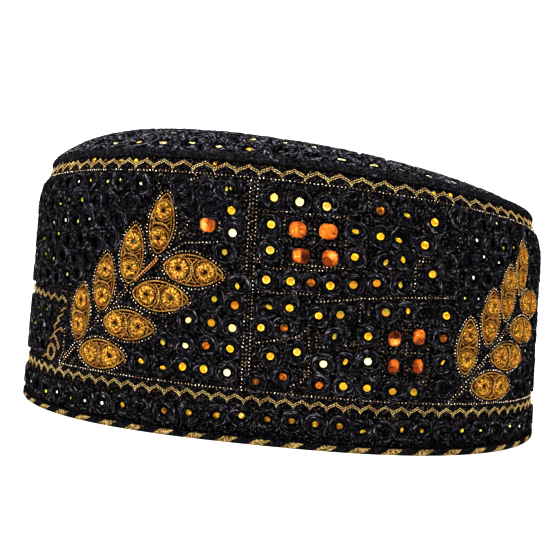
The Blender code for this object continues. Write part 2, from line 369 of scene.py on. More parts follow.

# Leaf branches: eight leaves of gold thread to a branch. Each is a low pad of satin stitches, painted
# nearly black as painted shade between the cords, edged with couched copper cord, with two wound
# rosettes on it, and the stem is a twisted rope.
LEAF_LENGTH, LEAF_WIDTH = 17.4 * MM, 8.5 * MM
UPRIGHT_NARROWER = 0.86
BRANCHES = (
    {"foot": (-66.2, 15.8), "tip": (-28.2, 51.2), "rope": 10.0, "leaves": (
        (-57.1, 33.2, 82), (-47.5, 43.0, 82), (-37.5, 51.8, 81), (-27.8, 61.0, 80),
        (-47.9, 21.4, 1), (-38.3, 31.2, -2), (-27.9, 40.6, -1), (-17.9, 48.8, -3))},
    {"foot": (58.6, 15.6), "tip": (90.3, 51.0), "rope": 2.5, "leaves": (
        (64.8, 33.9, 88), (73.9, 43.4, 87), (82.3, 51.8, 86), (90.7, 60.8, 87),
        (76.0, 21.6, -1), (83.5, 31.0, 0), (93.3, 39.7, -4), (99.8, 49.3, -4))},
)
ROSETTE_MIDDLE, ROSETTE_CORD, ROSETTE_PLACE = 1.85 * MM, 1.2 * MM, 4.0 * MM
ROSETTE_EDGE = 3.5 * MM
OUTLINE_CORD = 0.19 * MM
PAD_RELIEF = 0.35 * MM


def both_halves(places):
    """The layout is worked twice round the cap, half a girth apart."""
    places = np.atleast_2d(places)
    second = places + np.array([HALF_GIRTH] + [0] * (places.shape[1] - 1))
    return np.concatenate([places, second])


def leaf_places():
    """Middle and direction of every leaf of one half, in metres and radians."""
    leaves = np.array([leaf for branch in BRANCHES for leaf in branch["leaves"]])
    return at_rim(leaves * [MM, MM, math.pi / 180])


def leaf_scales(turns):
    """Scale of each leaf along and across: the upright leaves are narrower."""
    upright = np.abs(np.sin(turns)) > 0.5
    return np.column_stack([np.where(upright, 0.97, 1.0), np.where(upright, UPRIGHT_NARROWER, 1.0)])


def stem_runs():
    """Foot and tip of each branch's stem, in metres."""
    return [(np.array(branch["foot"]) * MM, np.array(branch["tip"]) * MM) for branch in BRANCHES]


def leaf_half_width(along):
    """Half the width at a share of the length: a sine to a power, fuller near the base."""
    return LEAF_WIDTH / 2 * np.sin(math.pi * np.clip(along, 0, 1) ** 0.92) ** 0.64


def turned_copies(shape, faces, middles, turns=None, scales=None):
    """One small flat shape laid down at many places, scaled and then turned, as one array."""
    count = len(middles)
    turns = np.zeros(count) if turns is None else turns
    scales = np.ones(count) if scales is None else scales
    scale = np.broadcast_to(scales.reshape(count, -1), (count, 2))
    cosine, sine = np.cos(turns)[:, None], np.sin(turns)[:, None]
    along, across = shape[None, :, 0] * scale[:, :1], shape[None, :, 1] * scale[:, 1:]
    x = along * cosine - across * sine + middles[:, 0:1]
    y = along * sine + across * cosine + middles[:, 1:2]
    z = shape[None, :, 2] * scale[:, :1] + (middles[:, 2:3] if middles.shape[1] > 2 else 0)
    offsets = (np.arange(count) * len(shape))[:, None, None]
    sets = [(face_set[None] + offsets).reshape(-1, face_set.shape[1]) for face_set in faces]
    return np.stack([x, y, z], -1).reshape(-1, 3), sets


def ring_shape(middle, cord, around, section, flatten=0.85):
    """A ring of flattened round section: a small circle carried round a larger one."""
    turn = np.arange(around) / around * 2 * math.pi
    share = (np.arange(section) + 0.5) / section
    wrap = (share - 0.25) * 2 * math.pi
    reach = middle + cord * np.cos(wrap)[None, :]
    lift = np.broadcast_to(cord * flatten * (np.sin(wrap) + 0.55)[None, :], (around, section))
    points = np.stack([reach * np.cos(turn)[:, None], reach * np.sin(turn)[:, None], lift], -1)
    wound = np.broadcast_arrays(turn[:, None] / (2 * math.pi), share[None, :])
    faces = grid_faces(around, section, closed_rows=True, closed_columns=True)
    return points.reshape(-1, 3), [faces], np.stack(wound, -1).reshape(-1, 2)


def tube_shape(path, radius, sides=6, closed=False, run=None):
    """A cord: a circle carried along a flat path, upright on the path's running direction."""
    length = np.concatenate([[0], np.cumsum(np.linalg.norm(np.diff(path, axis=0), axis=1))])
    if run is not None:
        length = np.cumsum(np.linalg.norm(run, axis=1)) / 2
    elif closed:
        run = np.roll(path, -1, 0) - np.roll(path, 1, 0)
    else:
        run = np.gradient(path, axis=0)
    side = np.stack([-run[:, 1], run[:, 0], np.zeros(len(run))], -1)
    side /= np.linalg.norm(side, axis=1, keepdims=True)
    turn = (np.arange(sides) + 0.5) / sides * 2 * math.pi
    lift = np.array([0, 0, 1.0]) * np.sin(turn)[None, :, None]
    points = path[:, None] + radius * (side[:, None] * np.cos(turn)[None, :, None] + lift)
    faces = [grid_faces(len(path), sides, closed_rows=closed, closed_columns=True)]
    if not closed:
        ends = np.stack([np.arange(sides)[::-1], (len(path) - 1) * sides + np.arange(sides)])
        faces.append(ends)
    uv = np.stack(np.broadcast_arrays(length[:, None] / MM, turn[None, :] / (2 * math.pi)), -1)
    return points.reshape(-1, 3), faces, uv.reshape(-1, 2)


def gold_thread(name, turns_per_mm, dark, middle, bright, wander=1.0, wave_share=0.17, worn=0.0):
    """Metallic thread: slanted turns of gold strip catch the light, with copper where it is worn."""
    finish = plain_finish(name, middle, 0.32, 0.95)
    nodes = Nodes(finish)
    nodes.shader.inputs["Specular IOR Level"].default_value = 0.1
    nodes.shader.inputs["Specular Tint"].default_value = (0.62, 0.36, 0.13, 1.0)
    place = nodes.add("ShaderNodeSeparateXYZ", {"Vector": nodes.coordinate("UV")})
    grain = nodes.noise(nodes.coordinate(), 1700, 3, 0.75)
    turn = nodes.math("MULTIPLY", place.outputs["X"], turns_per_mm)
    turn = nodes.math("ADD", turn, place.outputs["Y"])
    turn = nodes.math("ADD", turn, nodes.math("MULTIPLY", grain, wander))
    wave = nodes.math("SINE", nodes.math("MULTIPLY", turn, 2 * math.pi))
    tone = nodes.math("ADD", nodes.math("MULTIPLY", wave, wave_share), grain)
    color = nodes.ramp(tone, (0.40, dark), (0.50, middle), (0.63, bright))
    if worn:
        cloud = nodes.noise(nodes.coordinate(), 420, 2)
        patch = nodes.ramp(cloud, (0.51, (0.0,) * 3), (0.60, (worn,) * 3))
        copper = nodes.ramp(tone, (0.42, (0.008, 0.002, 0.001)), (0.64, (0.80, 0.23, 0.05)))
        color = nodes.mix(patch, color, copper)
    nodes.join("Base Color", color)
    nodes.join("Roughness", nodes.ramp(grain, (0.3, (0.5,) * 3), (0.7, (0.22,) * 3)))
    nodes.bump(tone, 1.0, 0.0007)
    return finish


def leaf_pads(middles, turns):
    """The low pads: rows across the leaf, domed by a half circle, over a flat base in the cloth."""
    rows, columns = 15, 7
    along = np.linspace(0.012, 0.988, rows)
    half = leaf_half_width(along)
    across = np.linspace(-1, 1, columns)
    x = np.broadcast_to((along - 0.5)[:, None] * LEAF_LENGTH, (rows, columns))
    dome = np.sqrt(1 - across[None, :] ** 2) * (half / half.max())[:, None]
    top = np.stack([x, half[:, None] * across[None, :], PAD_RELIEF * (0.35 + 0.65 * dome)], -1)
    base = top * [1, 1, 0] - [0, 0, 0.2 * MM]
    pad = np.concatenate([top, base[:, ::-1]], 1)
    around = 2 * columns
    ends = np.stack([np.arange(around)[::-1], (rows - 1) * around + np.arange(around)])
    from_edge = np.concatenate([1 - np.abs(across), 1 - np.abs(across)[::-1]]) * LEAF_WIDTH / 2 / MM
    uv = np.stack(np.broadcast_arrays(from_edge[None, :] * 1.4, along[:, None] * 3), -1)
    faces = [grid_faces(rows, around, closed_columns=True), ends]
    points, sets = turned_copies(pad.reshape(-1, 3), faces, middles, turns, leaf_scales(turns))
    nodes = [f"leaf_branch_{number}" for number in range(1, 5)]
    add_piece("leaf_pads", lay_on_band(points), sets, gold_satin_painted_shade, nodes,
              uv=np.tile(uv.reshape(-1, 2), (len(middles), 1)))


def leaf_loop(count=25):
    """The leaf's outline once round, from its foot along one side and back along the other."""
    share = 0.5 - 0.5 * np.cos(np.linspace(0, math.pi, count))[:-1]
    there = np.stack([(share - 0.5) * LEAF_LENGTH, leaf_half_width(share)], -1)
    back = np.stack([(0.5 - share) * LEAF_LENGTH, -leaf_half_width(1 - share)], -1)
    return np.concatenate([there, back])


def make_leaves():
    """All the leaves' pads, edges, rosettes and eyes, each kind as one piece."""
    places = both_halves(leaf_places())
    middles, turns = places[:, :2], places[:, 2]
    leaf_pads(middles, turns)
    edge = np.column_stack([leaf_loop(), np.full(48, 0.3 * MM)])
    scales = leaf_scales(turns)
    add_cords("leaf_edges", edge, OUTLINE_CORD, middles, turns, gold_cord, scales, closed=True)
    inner = edge * [0.85, 0.77, 1] - [0, 0, 0.05 * MM]
    add_cords("leaf_inner_edges", inner, 0.15 * MM, middles, turns, copper_cord, scales, closed=True)

    axis = np.stack([np.cos(turns), np.sin(turns)], -1)
    both = np.concatenate([middles - axis * ROSETTE_PLACE, middles + axis * ROSETTE_PLACE * 0.94])
    count = len(both)
    lifted = np.column_stack([both, np.full(count, 0.35 * MM)])
    shape, faces, uv = ring_shape(ROSETTE_MIDDLE, ROSETTE_CORD, 20, 6, 0.5)
    sizes = np.concatenate([scales[:, 1], scales[:, 1]]) * rng.uniform(0.95, 1.04, count)
    flat, sets = turned_copies(shape, faces, lifted, rng.uniform(0, 6.3, count), sizes)
    flat += rng.normal(0, 0.13 * MM, flat.shape)
    add_piece("leaf_rosettes", lay_on_band(flat), sets, gold_winding,
              uv=np.tile(uv, (count, 1)))
    turn = np.linspace(0, 2 * math.pi, 25)[:-1]
    loop = np.stack([np.cos(turn), np.sin(turn), np.zeros(24)], -1) * ROSETTE_EDGE + [0, 0, 0.65 * MM]
    add_cords("rosette_edges", loop, 0.18 * MM, both, None, gold_cord, sizes, closed=True)
    crossing = np.array([(-1.4, 3.6), (-0.1, 2.0), (0.3, 0.0), (-0.1, -2.0), (-1.4, -3.6)]) * MM
    crossing = np.column_stack([crossing, np.full(5, 1.0 * MM)])
    add_cords("leaf_crossings", crossing, 0.2 * MM, middles, turns, gold_cord, scales)
    crossing = crossing * [-1, 1, 1]
    add_cords("leaf_crossings_back", crossing, 0.16 * MM, middles, turns, copper_cord, scales)
    tail = np.array([(6.4, 0.7), (7.4, 0.2), (8.3, -0.3), (8.9, -0.9), (9.2, -1.5)]) * MM
    tail = np.column_stack([tail, np.full(5, 0.55 * MM)])
    pointing = np.abs(np.sin(turns)) < 0.5
    add_cords("leaf_tails", tail, 0.2 * MM, middles[pointing], turns[pointing], copper_cord)
    shape, faces, uv = disc_shape(0.8 * MM, 0.05 * MM)
    eyes = np.column_stack([both, np.full(count, 0.5 * MM)])
    flat, sets = turned_copies(shape, faces, eyes)
    add_piece("leaf_eyes", lay_on_band(flat), sets, eye_foil,
              tint=np.repeat(rng.uniform(0, 1, count) ** 2, len(shape)))


def add_cords(name, path, radius, middles, turns, finish, scales=None, closed=False, sides=5):
    """The same short cord couched down at many places on the band."""
    shape, faces, uv = tube_shape(path, radius, sides, closed)
    flat, sets = turned_copies(shape, faces, middles, turns, scales)
    uv = np.tile(uv, (len(middles), 1))
    return add_piece(name, lay_on_band(flat), sets, finish, uv=uv)


def disc_shape(radius, rise, sides=12):
    """A low domed disc, closed below: circles and two caps; U runs out from its middle."""
    turn = np.arange(sides) / sides * 2 * math.pi
    circle = np.stack([np.cos(turn), np.sin(turn)], -1)
    rows = ((0.3, rise), (0.75, rise * 0.6), (1.0, 0.0), (1.0, -0.12 * MM))
    points = [np.column_stack([circle * radius * share, np.full(sides, lift)]) for share, lift in rows]
    faces = grid_faces(len(rows), sides, closed_columns=True)[:, ::-1]
    caps = np.stack([np.arange(sides), 3 * sides + np.arange(sides)[::-1]])
    uv = np.repeat([[share, 0] for share, lift in rows], sides, axis=0)
    return np.concatenate(points), [faces, caps], uv


def foil(name, roughness, *stops, heart=None, mottle=0.55, edge_glare=1.0):
    """Thin metal foil: its colour is picked by each disc's own tint, mottled where it is worn, and
    darkened at the disc's edge as painted shade from the ring round it.
    """
    finish = plain_finish(name, stops[0][1], roughness, 1.0)
    nodes = Nodes(finish)
    nodes.shader.inputs["Specular Tint"].default_value = (edge_glare, edge_glare, edge_glare, 1)
    tint = nodes.add("ShaderNodeAttribute", attribute_name="tint").outputs["Fac"]
    noise = nodes.math("SUBTRACT", nodes.noise(nodes.coordinate(), 1300, 2), 0.5)
    color = nodes.ramp(nodes.math("ADD", tint, nodes.math("MULTIPLY", noise, mottle)), *stops)
    reach = nodes.add("ShaderNodeSeparateXYZ", {"Vector": nodes.coordinate("UV")}).outputs["X"]
    reach = nodes.math("ADD", reach, nodes.math("MULTIPLY", noise, 0.8))
    if heart:
        middle = nodes.ramp(reach, (0.45, (0.85,) * 3), (0.80, (0.0,) * 3))
        yellow = nodes.ramp(tint, (0.58, (0.0,) * 3), (0.68, (1.0,) * 3),
                            (0.80, (1.0,) * 3), (0.86, (0.0,) * 3))
        color = nodes.mix(nodes.math("MULTIPLY", middle, yellow), color, heart)
    # Painted shade: the disc's outer edge is darkened to near black, for the shadow of the ring it lies
    # in.
    rim = nodes.ramp(reach, (0.90, (0.0,) * 3), (1.05, (0.8,) * 3))
    nodes.join("Base Color", nodes.mix(rim, color, (0.02, 0.007, 0.002)))
    return finish


def make_stems():
    """A rope of two strands twisted round the stem's upper run: two helices a half turn apart."""
    twist_length = 1.9 * MM
    for number, (branch, (foot, tip)) in enumerate(zip(BRANCHES, stem_runs())):
        run = (tip - foot) / np.linalg.norm(tip - foot)
        along = np.linspace(0, branch["rope"] * MM, 61)
        swell = 0.7 + 0.3 * along / along[-1]
        middles = both_halves(tip - run * along[-1])
        turns = np.full(2, math.atan2(run[1], run[0]))
        for strand, phase in enumerate((0.0, math.pi)):
            twist = along / twist_length * 2 * math.pi + phase
            helix = 0.26 * MM * swell
            path = np.stack([along, helix * np.cos(twist), 0.6 * MM + helix * np.sin(twist)], -1)
            name = f"stem_rope_{number + 1}_{strand + 1}"
            add_cords(name, path, 0.28 * MM, middles, turns, rope_gold)


# The pads' gold is painted nearly black: painted shade in the gaps between the cords and rosettes.
gold_satin_painted_shade = gold_thread("gold_satin_painted_shade", 1.0, (0.001, 0.0004, 0.0003), (0.002, 0.0008, 0.0005),
                         (0.03, 0.009, 0.002), 2.5)
gold_cord = gold_thread("gold_cord", 1.6, (0.012, 0.004, 0.001), (0.28, 0.12, 0.014),
                        (0.86, 0.48, 0.10), worn=0.7)
copper_cord = gold_thread("copper_cord", 1.6, (0.008, 0.002, 0.001), (0.20, 0.07, 0.010),
                          (0.74, 0.36, 0.08))
gold_winding = gold_thread("gold_winding", 16, (0.004, 0.0012, 0.0005), (0.17, 0.068, 0.005),
                           (0.82, 0.44, 0.06), 2.4, 0.05, worn=0.5)
rope_gold = gold_thread("rope_gold", 0.9, (0.004, 0.001, 0.001), (0.24, 0.045, 0.010),
                        (0.98, 0.46, 0.14), 1.0, 0.34, 0.5)
# Eye foil: dark, its upper stops painted glints on some of the eyes.
eye_foil = foil("eye_foil", 0.25, (0.0, (0.006, 0.002, 0.001)), (0.5, (0.03, 0.01, 0.004)),
                (0.8, (0.02, 0.05, 0.03)), (1.0, (0.42, 0.26, 0.03)))
make_leaves()
make_stems()

# Cut mirrors: small orange glass mirrors in groups of four, and one alone, faceted, glued on
# and caught down with stitches. A row is a place, the size across and up, the side that the
# bright facets face in degrees, and how bright they are and how far the others fall off:
# the facets' tones are painted reflection, lighter towards that side and darker away from it.
MIRRORS = (
    (-13.8, 61.8, 4.2, 3.9, 200, 0.68, 0.30), (11.3, 62.8, 4.5, 4.3, 190, 0.66, 0.12),
    (19.6, 63.2, 4.8, 4.2, 160, 0.68, 0.08), (12.6, 55.8, 4.6, 4.1, 180, 0.46, 0.38),
    (20.6, 55.9, 4.3, 4.4, 60, 0.55, 0.25), (40.5, 35.0, 3.7, 4.4, 270, 0.50, 0.45),
    (47.8, 36.0, 3.7, 4.5, 100, 0.56, 0.16), (40.8, 26.9, 3.2, 4.1, 60, 0.48, 0.14),
    (48.1, 27.3, 3.2, 4.3, 30, 0.46, 0.14),
)
MIRROR_RELIEF = 0.9 * MM


def orange_mirror():
    """Orange mirror glass: each facet's tone, from dark red to bright orange, is painted reflection,
    with a random cloud over it.
    """
    finish = plain_finish("orange_mirror", (0.5, 0.15, 0.02), 0.3, 0.9)
    nodes = Nodes(finish)
    nodes.shader.inputs["Specular IOR Level"].default_value = 0.1
    tint = nodes.add("ShaderNodeAttribute", attribute_name="tint").outputs["Fac"]
    grain = nodes.noise(nodes.coordinate(), 1400, 3, 0.7)
    cloud = nodes.math("MULTIPLY", nodes.math("SUBTRACT", grain, 0.5), 1.1)
    nodes.join("Base Color", nodes.ramp(
        nodes.math("ADD", tint, cloud), (0.1, (0.012, 0.002, 0.001)), (0.4, (0.13, 0.018, 0.003)),
        (0.6, (0.33, 0.066, 0.005)), (0.8, (0.46, 0.135, 0.011)), (1.0, (0.60, 0.28, 0.06))))
    nodes.bump(cloud, 0.4, 0.0006)
    return finish


def cut_mirror(width, height, turn, bright, fall):
    """Facets as loose faces: a table of wedges from the middle, and a bevel and a side round them."""
    sides = 12
    angle = np.arange(sides + 1) / sides * 2 * math.pi
    cosine, sine = np.cos(angle), np.sin(angle)
    reach = (np.abs(cosine) ** 3 + np.abs(sine) ** 3) ** (-1 / 3)
    rim = np.stack([cosine * reach * width / 2, sine * reach * height / 2], -1) * MM
    levels = ((rim * 0.78, 1.0), (rim, 0.72), (rim, -0.1))
    relief = np.full(sides + 1, MIRROR_RELIEF)
    circles = [np.column_stack([ring, relief * lift]) for ring, lift in levels]
    middle = np.broadcast_to([0, 0, MIRROR_RELIEF], (sides, 3))
    wedges = np.stack([middle, circles[0][:-1], circles[0][1:]], 1)
    bands = zip(circles, circles[1:])
    quads = [np.stack([high[:-1], low[:-1], low[1:], high[1:]], 1) for high, low in bands]
    # Painted reflection: the table's wedges and the bevel are lighter the more they face the given side;
    # the side wall takes a fixed dark tone.
    facing = np.cos(angle[:-1] + math.pi / sides - math.radians(turn))
    table = bright + fall * np.sign(facing) * np.sqrt(np.abs(facing))
    return wedges, quads, [table, bright - 0.1 + 0.5 * fall * facing, np.full(sides, 0.25)]


def make_mirrors():
    """All the mirrors as one piece, each facet with its own points so that it stays flat."""
    points, tints, triangles, quads, start = [], [], [], [], 0
    for x, z, *cut in both_halves(at_rim(np.array(MIRRORS) * [MM, MM, 1, 1, 1, 1, 1])):
        wedges, walls, tones = cut_mirror(*cut)
        for block, tone in zip([wedges, *walls], tones):
            corners = block.shape[1]
            faces = start + np.arange(len(block) * corners).reshape(-1, corners)
            (triangles if corners == 3 else quads).append(faces)
            points.append(block.reshape(-1, 3) + [x, z, 0])
            tints.append(np.repeat(np.clip(tone + rng.normal(0, 0.05, len(tone)), 0, 1), corners))
            start += len(block) * corners
    names = [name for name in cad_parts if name.startswith("mirror_")]
    faces = [np.concatenate(triangles), np.concatenate(quads)]
    add_piece("cut_mirrors", lay_on_band(np.concatenate(points)), faces, orange_mirror(), names,
              tint=np.concatenate(tints), smooth=False)


make_mirrors()

# Cord rings: black rayon cord wound closely round a small ring and sewn down, in rows over the
# whole band, with thin cord whipped round each in short arcs. A domed foil sequin, some of them
# half covered, is sewn in the eye. A chart entry is a place along and up, and a tone letter.
RING_MIDDLE, RING_CORD = 2.37 * MM, 0.94 * MM
SEQUIN_RADIUS = 1.32 * MM
ROW_PITCH, RING_PITCH = 5.72 * MM, 6.35 * MM
LEAST_RING_GAP = 4.3 * MM
FIELD_LOW, FIELD_HIGH = 20.4 * MM, 71.9 * MM
BORDER_PITCH, BORDER_SIZE, BORDER_HEIGHT = 6.75 * MM, 1.05, 7.2 * MM
PANEL_RIGHT = 59.8 * MM
FIELD_ZIGZAG = ((-63.5, 36.2), (-75.0, 36.6), (-105.0, 38.2), (-127.0, 38.2), (-127.0, 16.5))
MOTIF = (-69.5, 23.5)
PANEL_RINGS = (
    "4.2 70.7 p, 11.3 70.4 w, 18.8 69.8 y, 26.0 71.6 k, 33.7 70.4 d, 41.2 69.9 c",
    "50.3 69.7 y, 58.2 72.4 k",
    "3.8 63.3 y, 27.4 63.7 c, 34.0 63.3 g, 40.2 63.7 c, 47.7 62.6 g, 54.2 64.4 k",
    "4.0 56.3 y, 27.6 56.8 g, 36.0 56.9 c, 41.6 58.0 c, 50.6 54.2 g, 55.4 58.0 k, 56.6 51.9 k",
    "3.4 48.3 y, 10.2 48.6 y, 15.9 48.7 r, 21.1 48.5 y, 27.6 49.2 o, 34.1 50.2 o, 41.1 51.0 c",
    "4.1 40.5 c, 10.5 41.3 g, 18.2 39.4 y, 24.8 40.7 o, 37.4 42.6 o, 43.3 43.0 c",
    "49.2 43.2 k, 56.0 42.9 y",
    "2.8 34.8 y, 9.0 35.4 d, 23.8 33.8 c, 32.8 35.1 g, 55.7 35.9 d",
    "5.7 26.5 g, 13.0 28.6 y, 20.7 25.9 w, 27.2 26.6 c, 33.4 27.8 w, 55.8 28.4 c",
    "2.0 18.9 d, 9.5 21.2 d, 19.8 19.8 a, 26.8 20.0 g, 33.7 20.0 g, 41.0 19.4 o",
    "47.6 19.5 o, 57.2 20.8 k",
    "-7.6 71.8 c, -14.2 71.3 k, -21.4 69.0 k, -7.5 66.2 g, -6.4 60.2 w, -8.6 54.8 n, -4.4 46.0 c",
    "-11.3 41.2 n, -5.2 40.2 a, -18.8 34.6 q, -11.8 34.5 o, -5.7 34.0 p",
    "-26.1 27.4 n, -19.4 27.4 q, -12.7 27.8 a, -5.9 27.7 g",
    "-33.8 20.6 c, -26.3 20.8 c, -20.0 20.9 y, -13.6 20.9 y, -6.7 20.8 w",
)
# Tone e marks a border ring with only a painted glint in its eye; k marks one with none.
BORDER_RINGS = (
    "-72.9 6.6 e, -66.0 6.9 e, -59.2 6.6 e, -52.9 6.7 e, -46.5 6.9 e, -39.0 7.4 n, -32.5 7.3 k",
    "-25.2 7.2 a, -17.3 7.7 o, -9.3 7.9 o, -2.1 8.2 g, 5.8 8.2 o, 12.9 8.2 a, 19.8 7.9 o, 26.5 8.1 o",
    "32.7 7.3 c, 39.2 7.4 k, 45.2 7.7 c, 51.0 7.8 n, 57.9 7.7 k, 64.2 7.5 e, 70.8 7.5 e",
    "78.7 7.4 k, 86.2 7.2 e",
)
TONES = {
    "w": 0.97, "q": 0.93, "p": 0.88, "y": 0.76, "g": 0.66, "c": 0.62, "n": 0.55, "o": 0.46,
    "a": 0.36, "r": 0.31, "d": 0.27,
}


def charted_rings(chart):
    """Rings read from a chart: places in metres and the tone letter of each."""
    entries = [entry.split() for row in chart for entry in row.split(",")]
    places = np.array([(float(x), float(z)) for x, z, tone in entries]) * MM
    return at_rim(places), np.array([tone for x, z, tone in entries])


def border_rings():
    """The border's charted rings, and an even run of plain ones over the rest of the half."""
    places, tones = charted_rings(BORDER_RINGS)
    gap = places[0, 0] + HALF_GIRTH - places[-1, 0]
    count = round(gap / BORDER_PITCH) - 1
    along = places[-1, 0] + gap * np.arange(1, count + 1) / (count + 1)
    more = np.column_stack([along, BORDER_HEIGHT + rng.normal(0, 0.2 * MM, count)])
    return np.concatenate([places, more]), np.concatenate([tones, rng.choice(("e", "k"), count)])


def from_front(along):
    """A place along the girth, counted either way from the start of its own half."""
    return (along + HALF_GIRTH / 2) % HALF_GIRTH - HALF_GIRTH / 2


def away_from(places, start, end):
    """The straight way to each place from a run between start and end, on the unrolled band."""
    start, run = np.array(start), np.subtract(end, start)
    apart = places - start
    apart[:, 0] = from_front(apart[:, 0])
    share = np.clip(apart @ run / max(run @ run, 1e-12), 0, 1)
    return apart - share[:, None] * run


def distance_to(places, start, end):
    """Distance of each place to a straight run between start and end, on the unrolled band."""
    return np.linalg.norm(away_from(places, start, end), axis=1)


def pushed_off(places, start, end, clear):
    """Rings that would lie less than clear from a run move straight away from it."""
    away = away_from(places, start, end)
    distance = np.linalg.norm(away, axis=1, keepdims=True)
    return places + np.where(distance < clear, away / distance * (clear - distance), 0)


def field_places():
    """Staggered rows of rings over one half, moved off the leaves and left out in the panel."""
    rows = np.arange(FIELD_LOW, FIELD_HIGH + ROW_PITCH / 2, ROW_PITCH)
    count = round(HALF_GIRTH / RING_PITCH)
    along = (np.arange(count) + 0.5 * (np.arange(len(rows)) % 2)[:, None]) * HALF_GIRTH / count
    places = np.stack([along, np.broadcast_to(rows[:, None], along.shape)], -1).reshape(-1, 2)
    corners = np.array(FIELD_ZIGZAG) * MM
    motif = np.array(MOTIF) * MM
    avoid = [(start, end, 3.9 * MM, 2.4 * MM) for start, end in zip(corners, corners[1:])]
    avoid.append((motif - [2 * MM, 5 * MM], motif + [3 * MM, 8.5 * MM], 6.0 * MM, 4.4 * MM))
    for x, z, turn in leaf_places():
        reach = np.array([math.cos(turn), math.sin(turn)]) * 0.27 * LEAF_LENGTH
        avoid.append((np.array([x, z]) - reach, np.array([x, z]) + reach, 7.7 * MM, 5.2 * MM))
    avoid += [(foot, tip, 4.4 * MM, 2.6 * MM) for foot, tip in stem_runs()]
    for start, end, clear, drop in avoid:
        places = places[distance_to(places, start, end) > drop]
    for start, end, clear, drop in avoid:
        places = pushed_off(places, start, end, clear)
    for start, end, clear, drop in avoid:
        places = places[distance_to(places, start, end) > clear - 0.6 * MM]
    along = from_front(places[:, 0])
    foot, tip = stem_runs()[0]
    stem_x = foot[0] + (places[:, 1] - foot[1]) * (tip[0] - foot[0]) / (tip[1] - foot[1])
    places = places[~((along > stem_x) & (along < PANEL_RIGHT))]
    inside = (places[:, 1] > FIELD_LOW - 0.5 * MM) & (places[:, 1] < FIELD_HIGH + 0.5 * MM)
    places = places[inside]
    kept = []
    for place in places:
        if all(math.hypot(*(place - other)) > LEAST_RING_GAP for other in kept):
            kept.append(place)
    return np.array(kept)


def black_cord(name, painted_light_level, along=10.0, across=15.0, painted_shoulder_light=(0.44, 0.35, 0.75, 0.075)):
    """Wound rayon: near black, its strands run along the cord; its pale flecks are painted glints and
    its lit shoulder a painted highlight, as it has no specular of its own.
    """
    finish = plain_finish(name, (0.003, 0.003, 0.004), 0.4)
    nodes = Nodes(finish)
    nodes.shader.inputs["Specular IOR Level"].default_value = 0.0
    place = nodes.add("ShaderNodeSeparateXYZ", {"Vector": nodes.coordinate("UV")})
    spot = nodes.add("ShaderNodeSeparateXYZ", {"Vector": nodes.coordinate()})
    apart = nodes.math("MULTIPLY", nodes.math("ADD", spot.outputs["X"], spot.outputs["Z"]), 250)
    length = nodes.math("MULTIPLY", place.outputs["X"], along)
    slant = nodes.math("ADD", nodes.math("MULTIPLY", place.outputs["Y"], across), length)
    strand_place = nodes.add("ShaderNodeCombineXYZ", {"X": length, "Y": slant, "Z": apart})
    strands = nodes.noise(strand_place.outputs[0], 1.0, 2, 0.55)
    top, level, inner, rise = painted_shoulder_light
    # Painted highlight and shade: lighter from the outer shoulder of the section over its top, darker on
    # the inner side and underneath.
    outer = nodes.ramp(place.outputs["Y"], (0.16, (0.0,) * 3), (0.31, (1.0,) * 3),
                       (top, (level,) * 3), (inner, (0.0,) * 3))
    height = nodes.math("ADD", strands, nodes.math("MULTIPLY", outer, rise))
    # The palest stops are painted glints on the strands.
    tones = ((0.44, 0.0003), (0.54, 0.0016), (0.61, 0.0050), (0.67, 0.020), (0.74, 0.10), (0.84, 0.34))
    stops = [(step, tuple(tone * painted_light_level * part for part in (1.0, 0.94, 1.12))) for step, tone in tones]
    nodes.join("Base Color", nodes.ramp(height, *stops))
    nodes.bump(strands, 1.0, 0.0004)
    return finish


def make_rings(name, places, lay, size=1.0, turns=None, shape_scale=(1.0, 1.0), lift=0.0,
               around=15, section=6, relief=0.82, finish=None):
    """Rings at places (along, up), each hand-wound: a little uneven in size, turn and outline."""
    shape, faces, uv = ring_shape(RING_MIDDLE * size, RING_CORD * size, around, section, relief)
    count = len(places)
    turns = rng.uniform(0, 6.3, count) if turns is None else turns
    scales = rng.uniform(0.94, 1.06, (count, 1)) * np.array(shape_scale)
    middles = np.column_stack([places, lift + rng.uniform(-0.15, 0.15, count) * MM])
    flat, sets = turned_copies(shape, faces, middles, turns, scales)
    flat += rng.normal(0, 0.07 * MM, flat.shape)
    uv = np.tile(uv, (count, 1))
    return add_piece(name, lay(flat), sets, finish or cord_finish, uv=uv)


def make_sequins(name, places, finish, lay, tint, scale=1.0, lift=0.5 * MM, stray=0.15 * MM, turns=None):
    """Domed sequins at places, each at its own small tilt and a little off the ring's middle."""
    shape, faces, uv = disc_shape(SEQUIN_RADIUS, 0.2 * MM)
    count = len(places)
    middles = np.column_stack([places + rng.normal(0, stray, places.shape), np.full(count, lift)])
    turns = rng.uniform(0, 6.3, count) if turns is None else turns
    scales = rng.uniform(0.9, 1.03, (count, 1)) * np.broadcast_to(scale, (count, 2))
    flat, sets = turned_copies(shape, faces, middles, turns, scales)
    from_middle = flat - np.repeat(middles, len(shape), axis=0)
    slope = np.repeat(rng.normal(0, 0.1, (count, 2)), len(shape), axis=0)
    flat[:, 2] += (from_middle[:, :2] * slope).sum(1)
    tint = np.repeat(tint + rng.normal(0, 0.03, count), len(shape))
    uv = np.tile(uv, (count, 1))
    return add_piece(name, lay(flat), sets, finish, uv=uv, tint=tint)


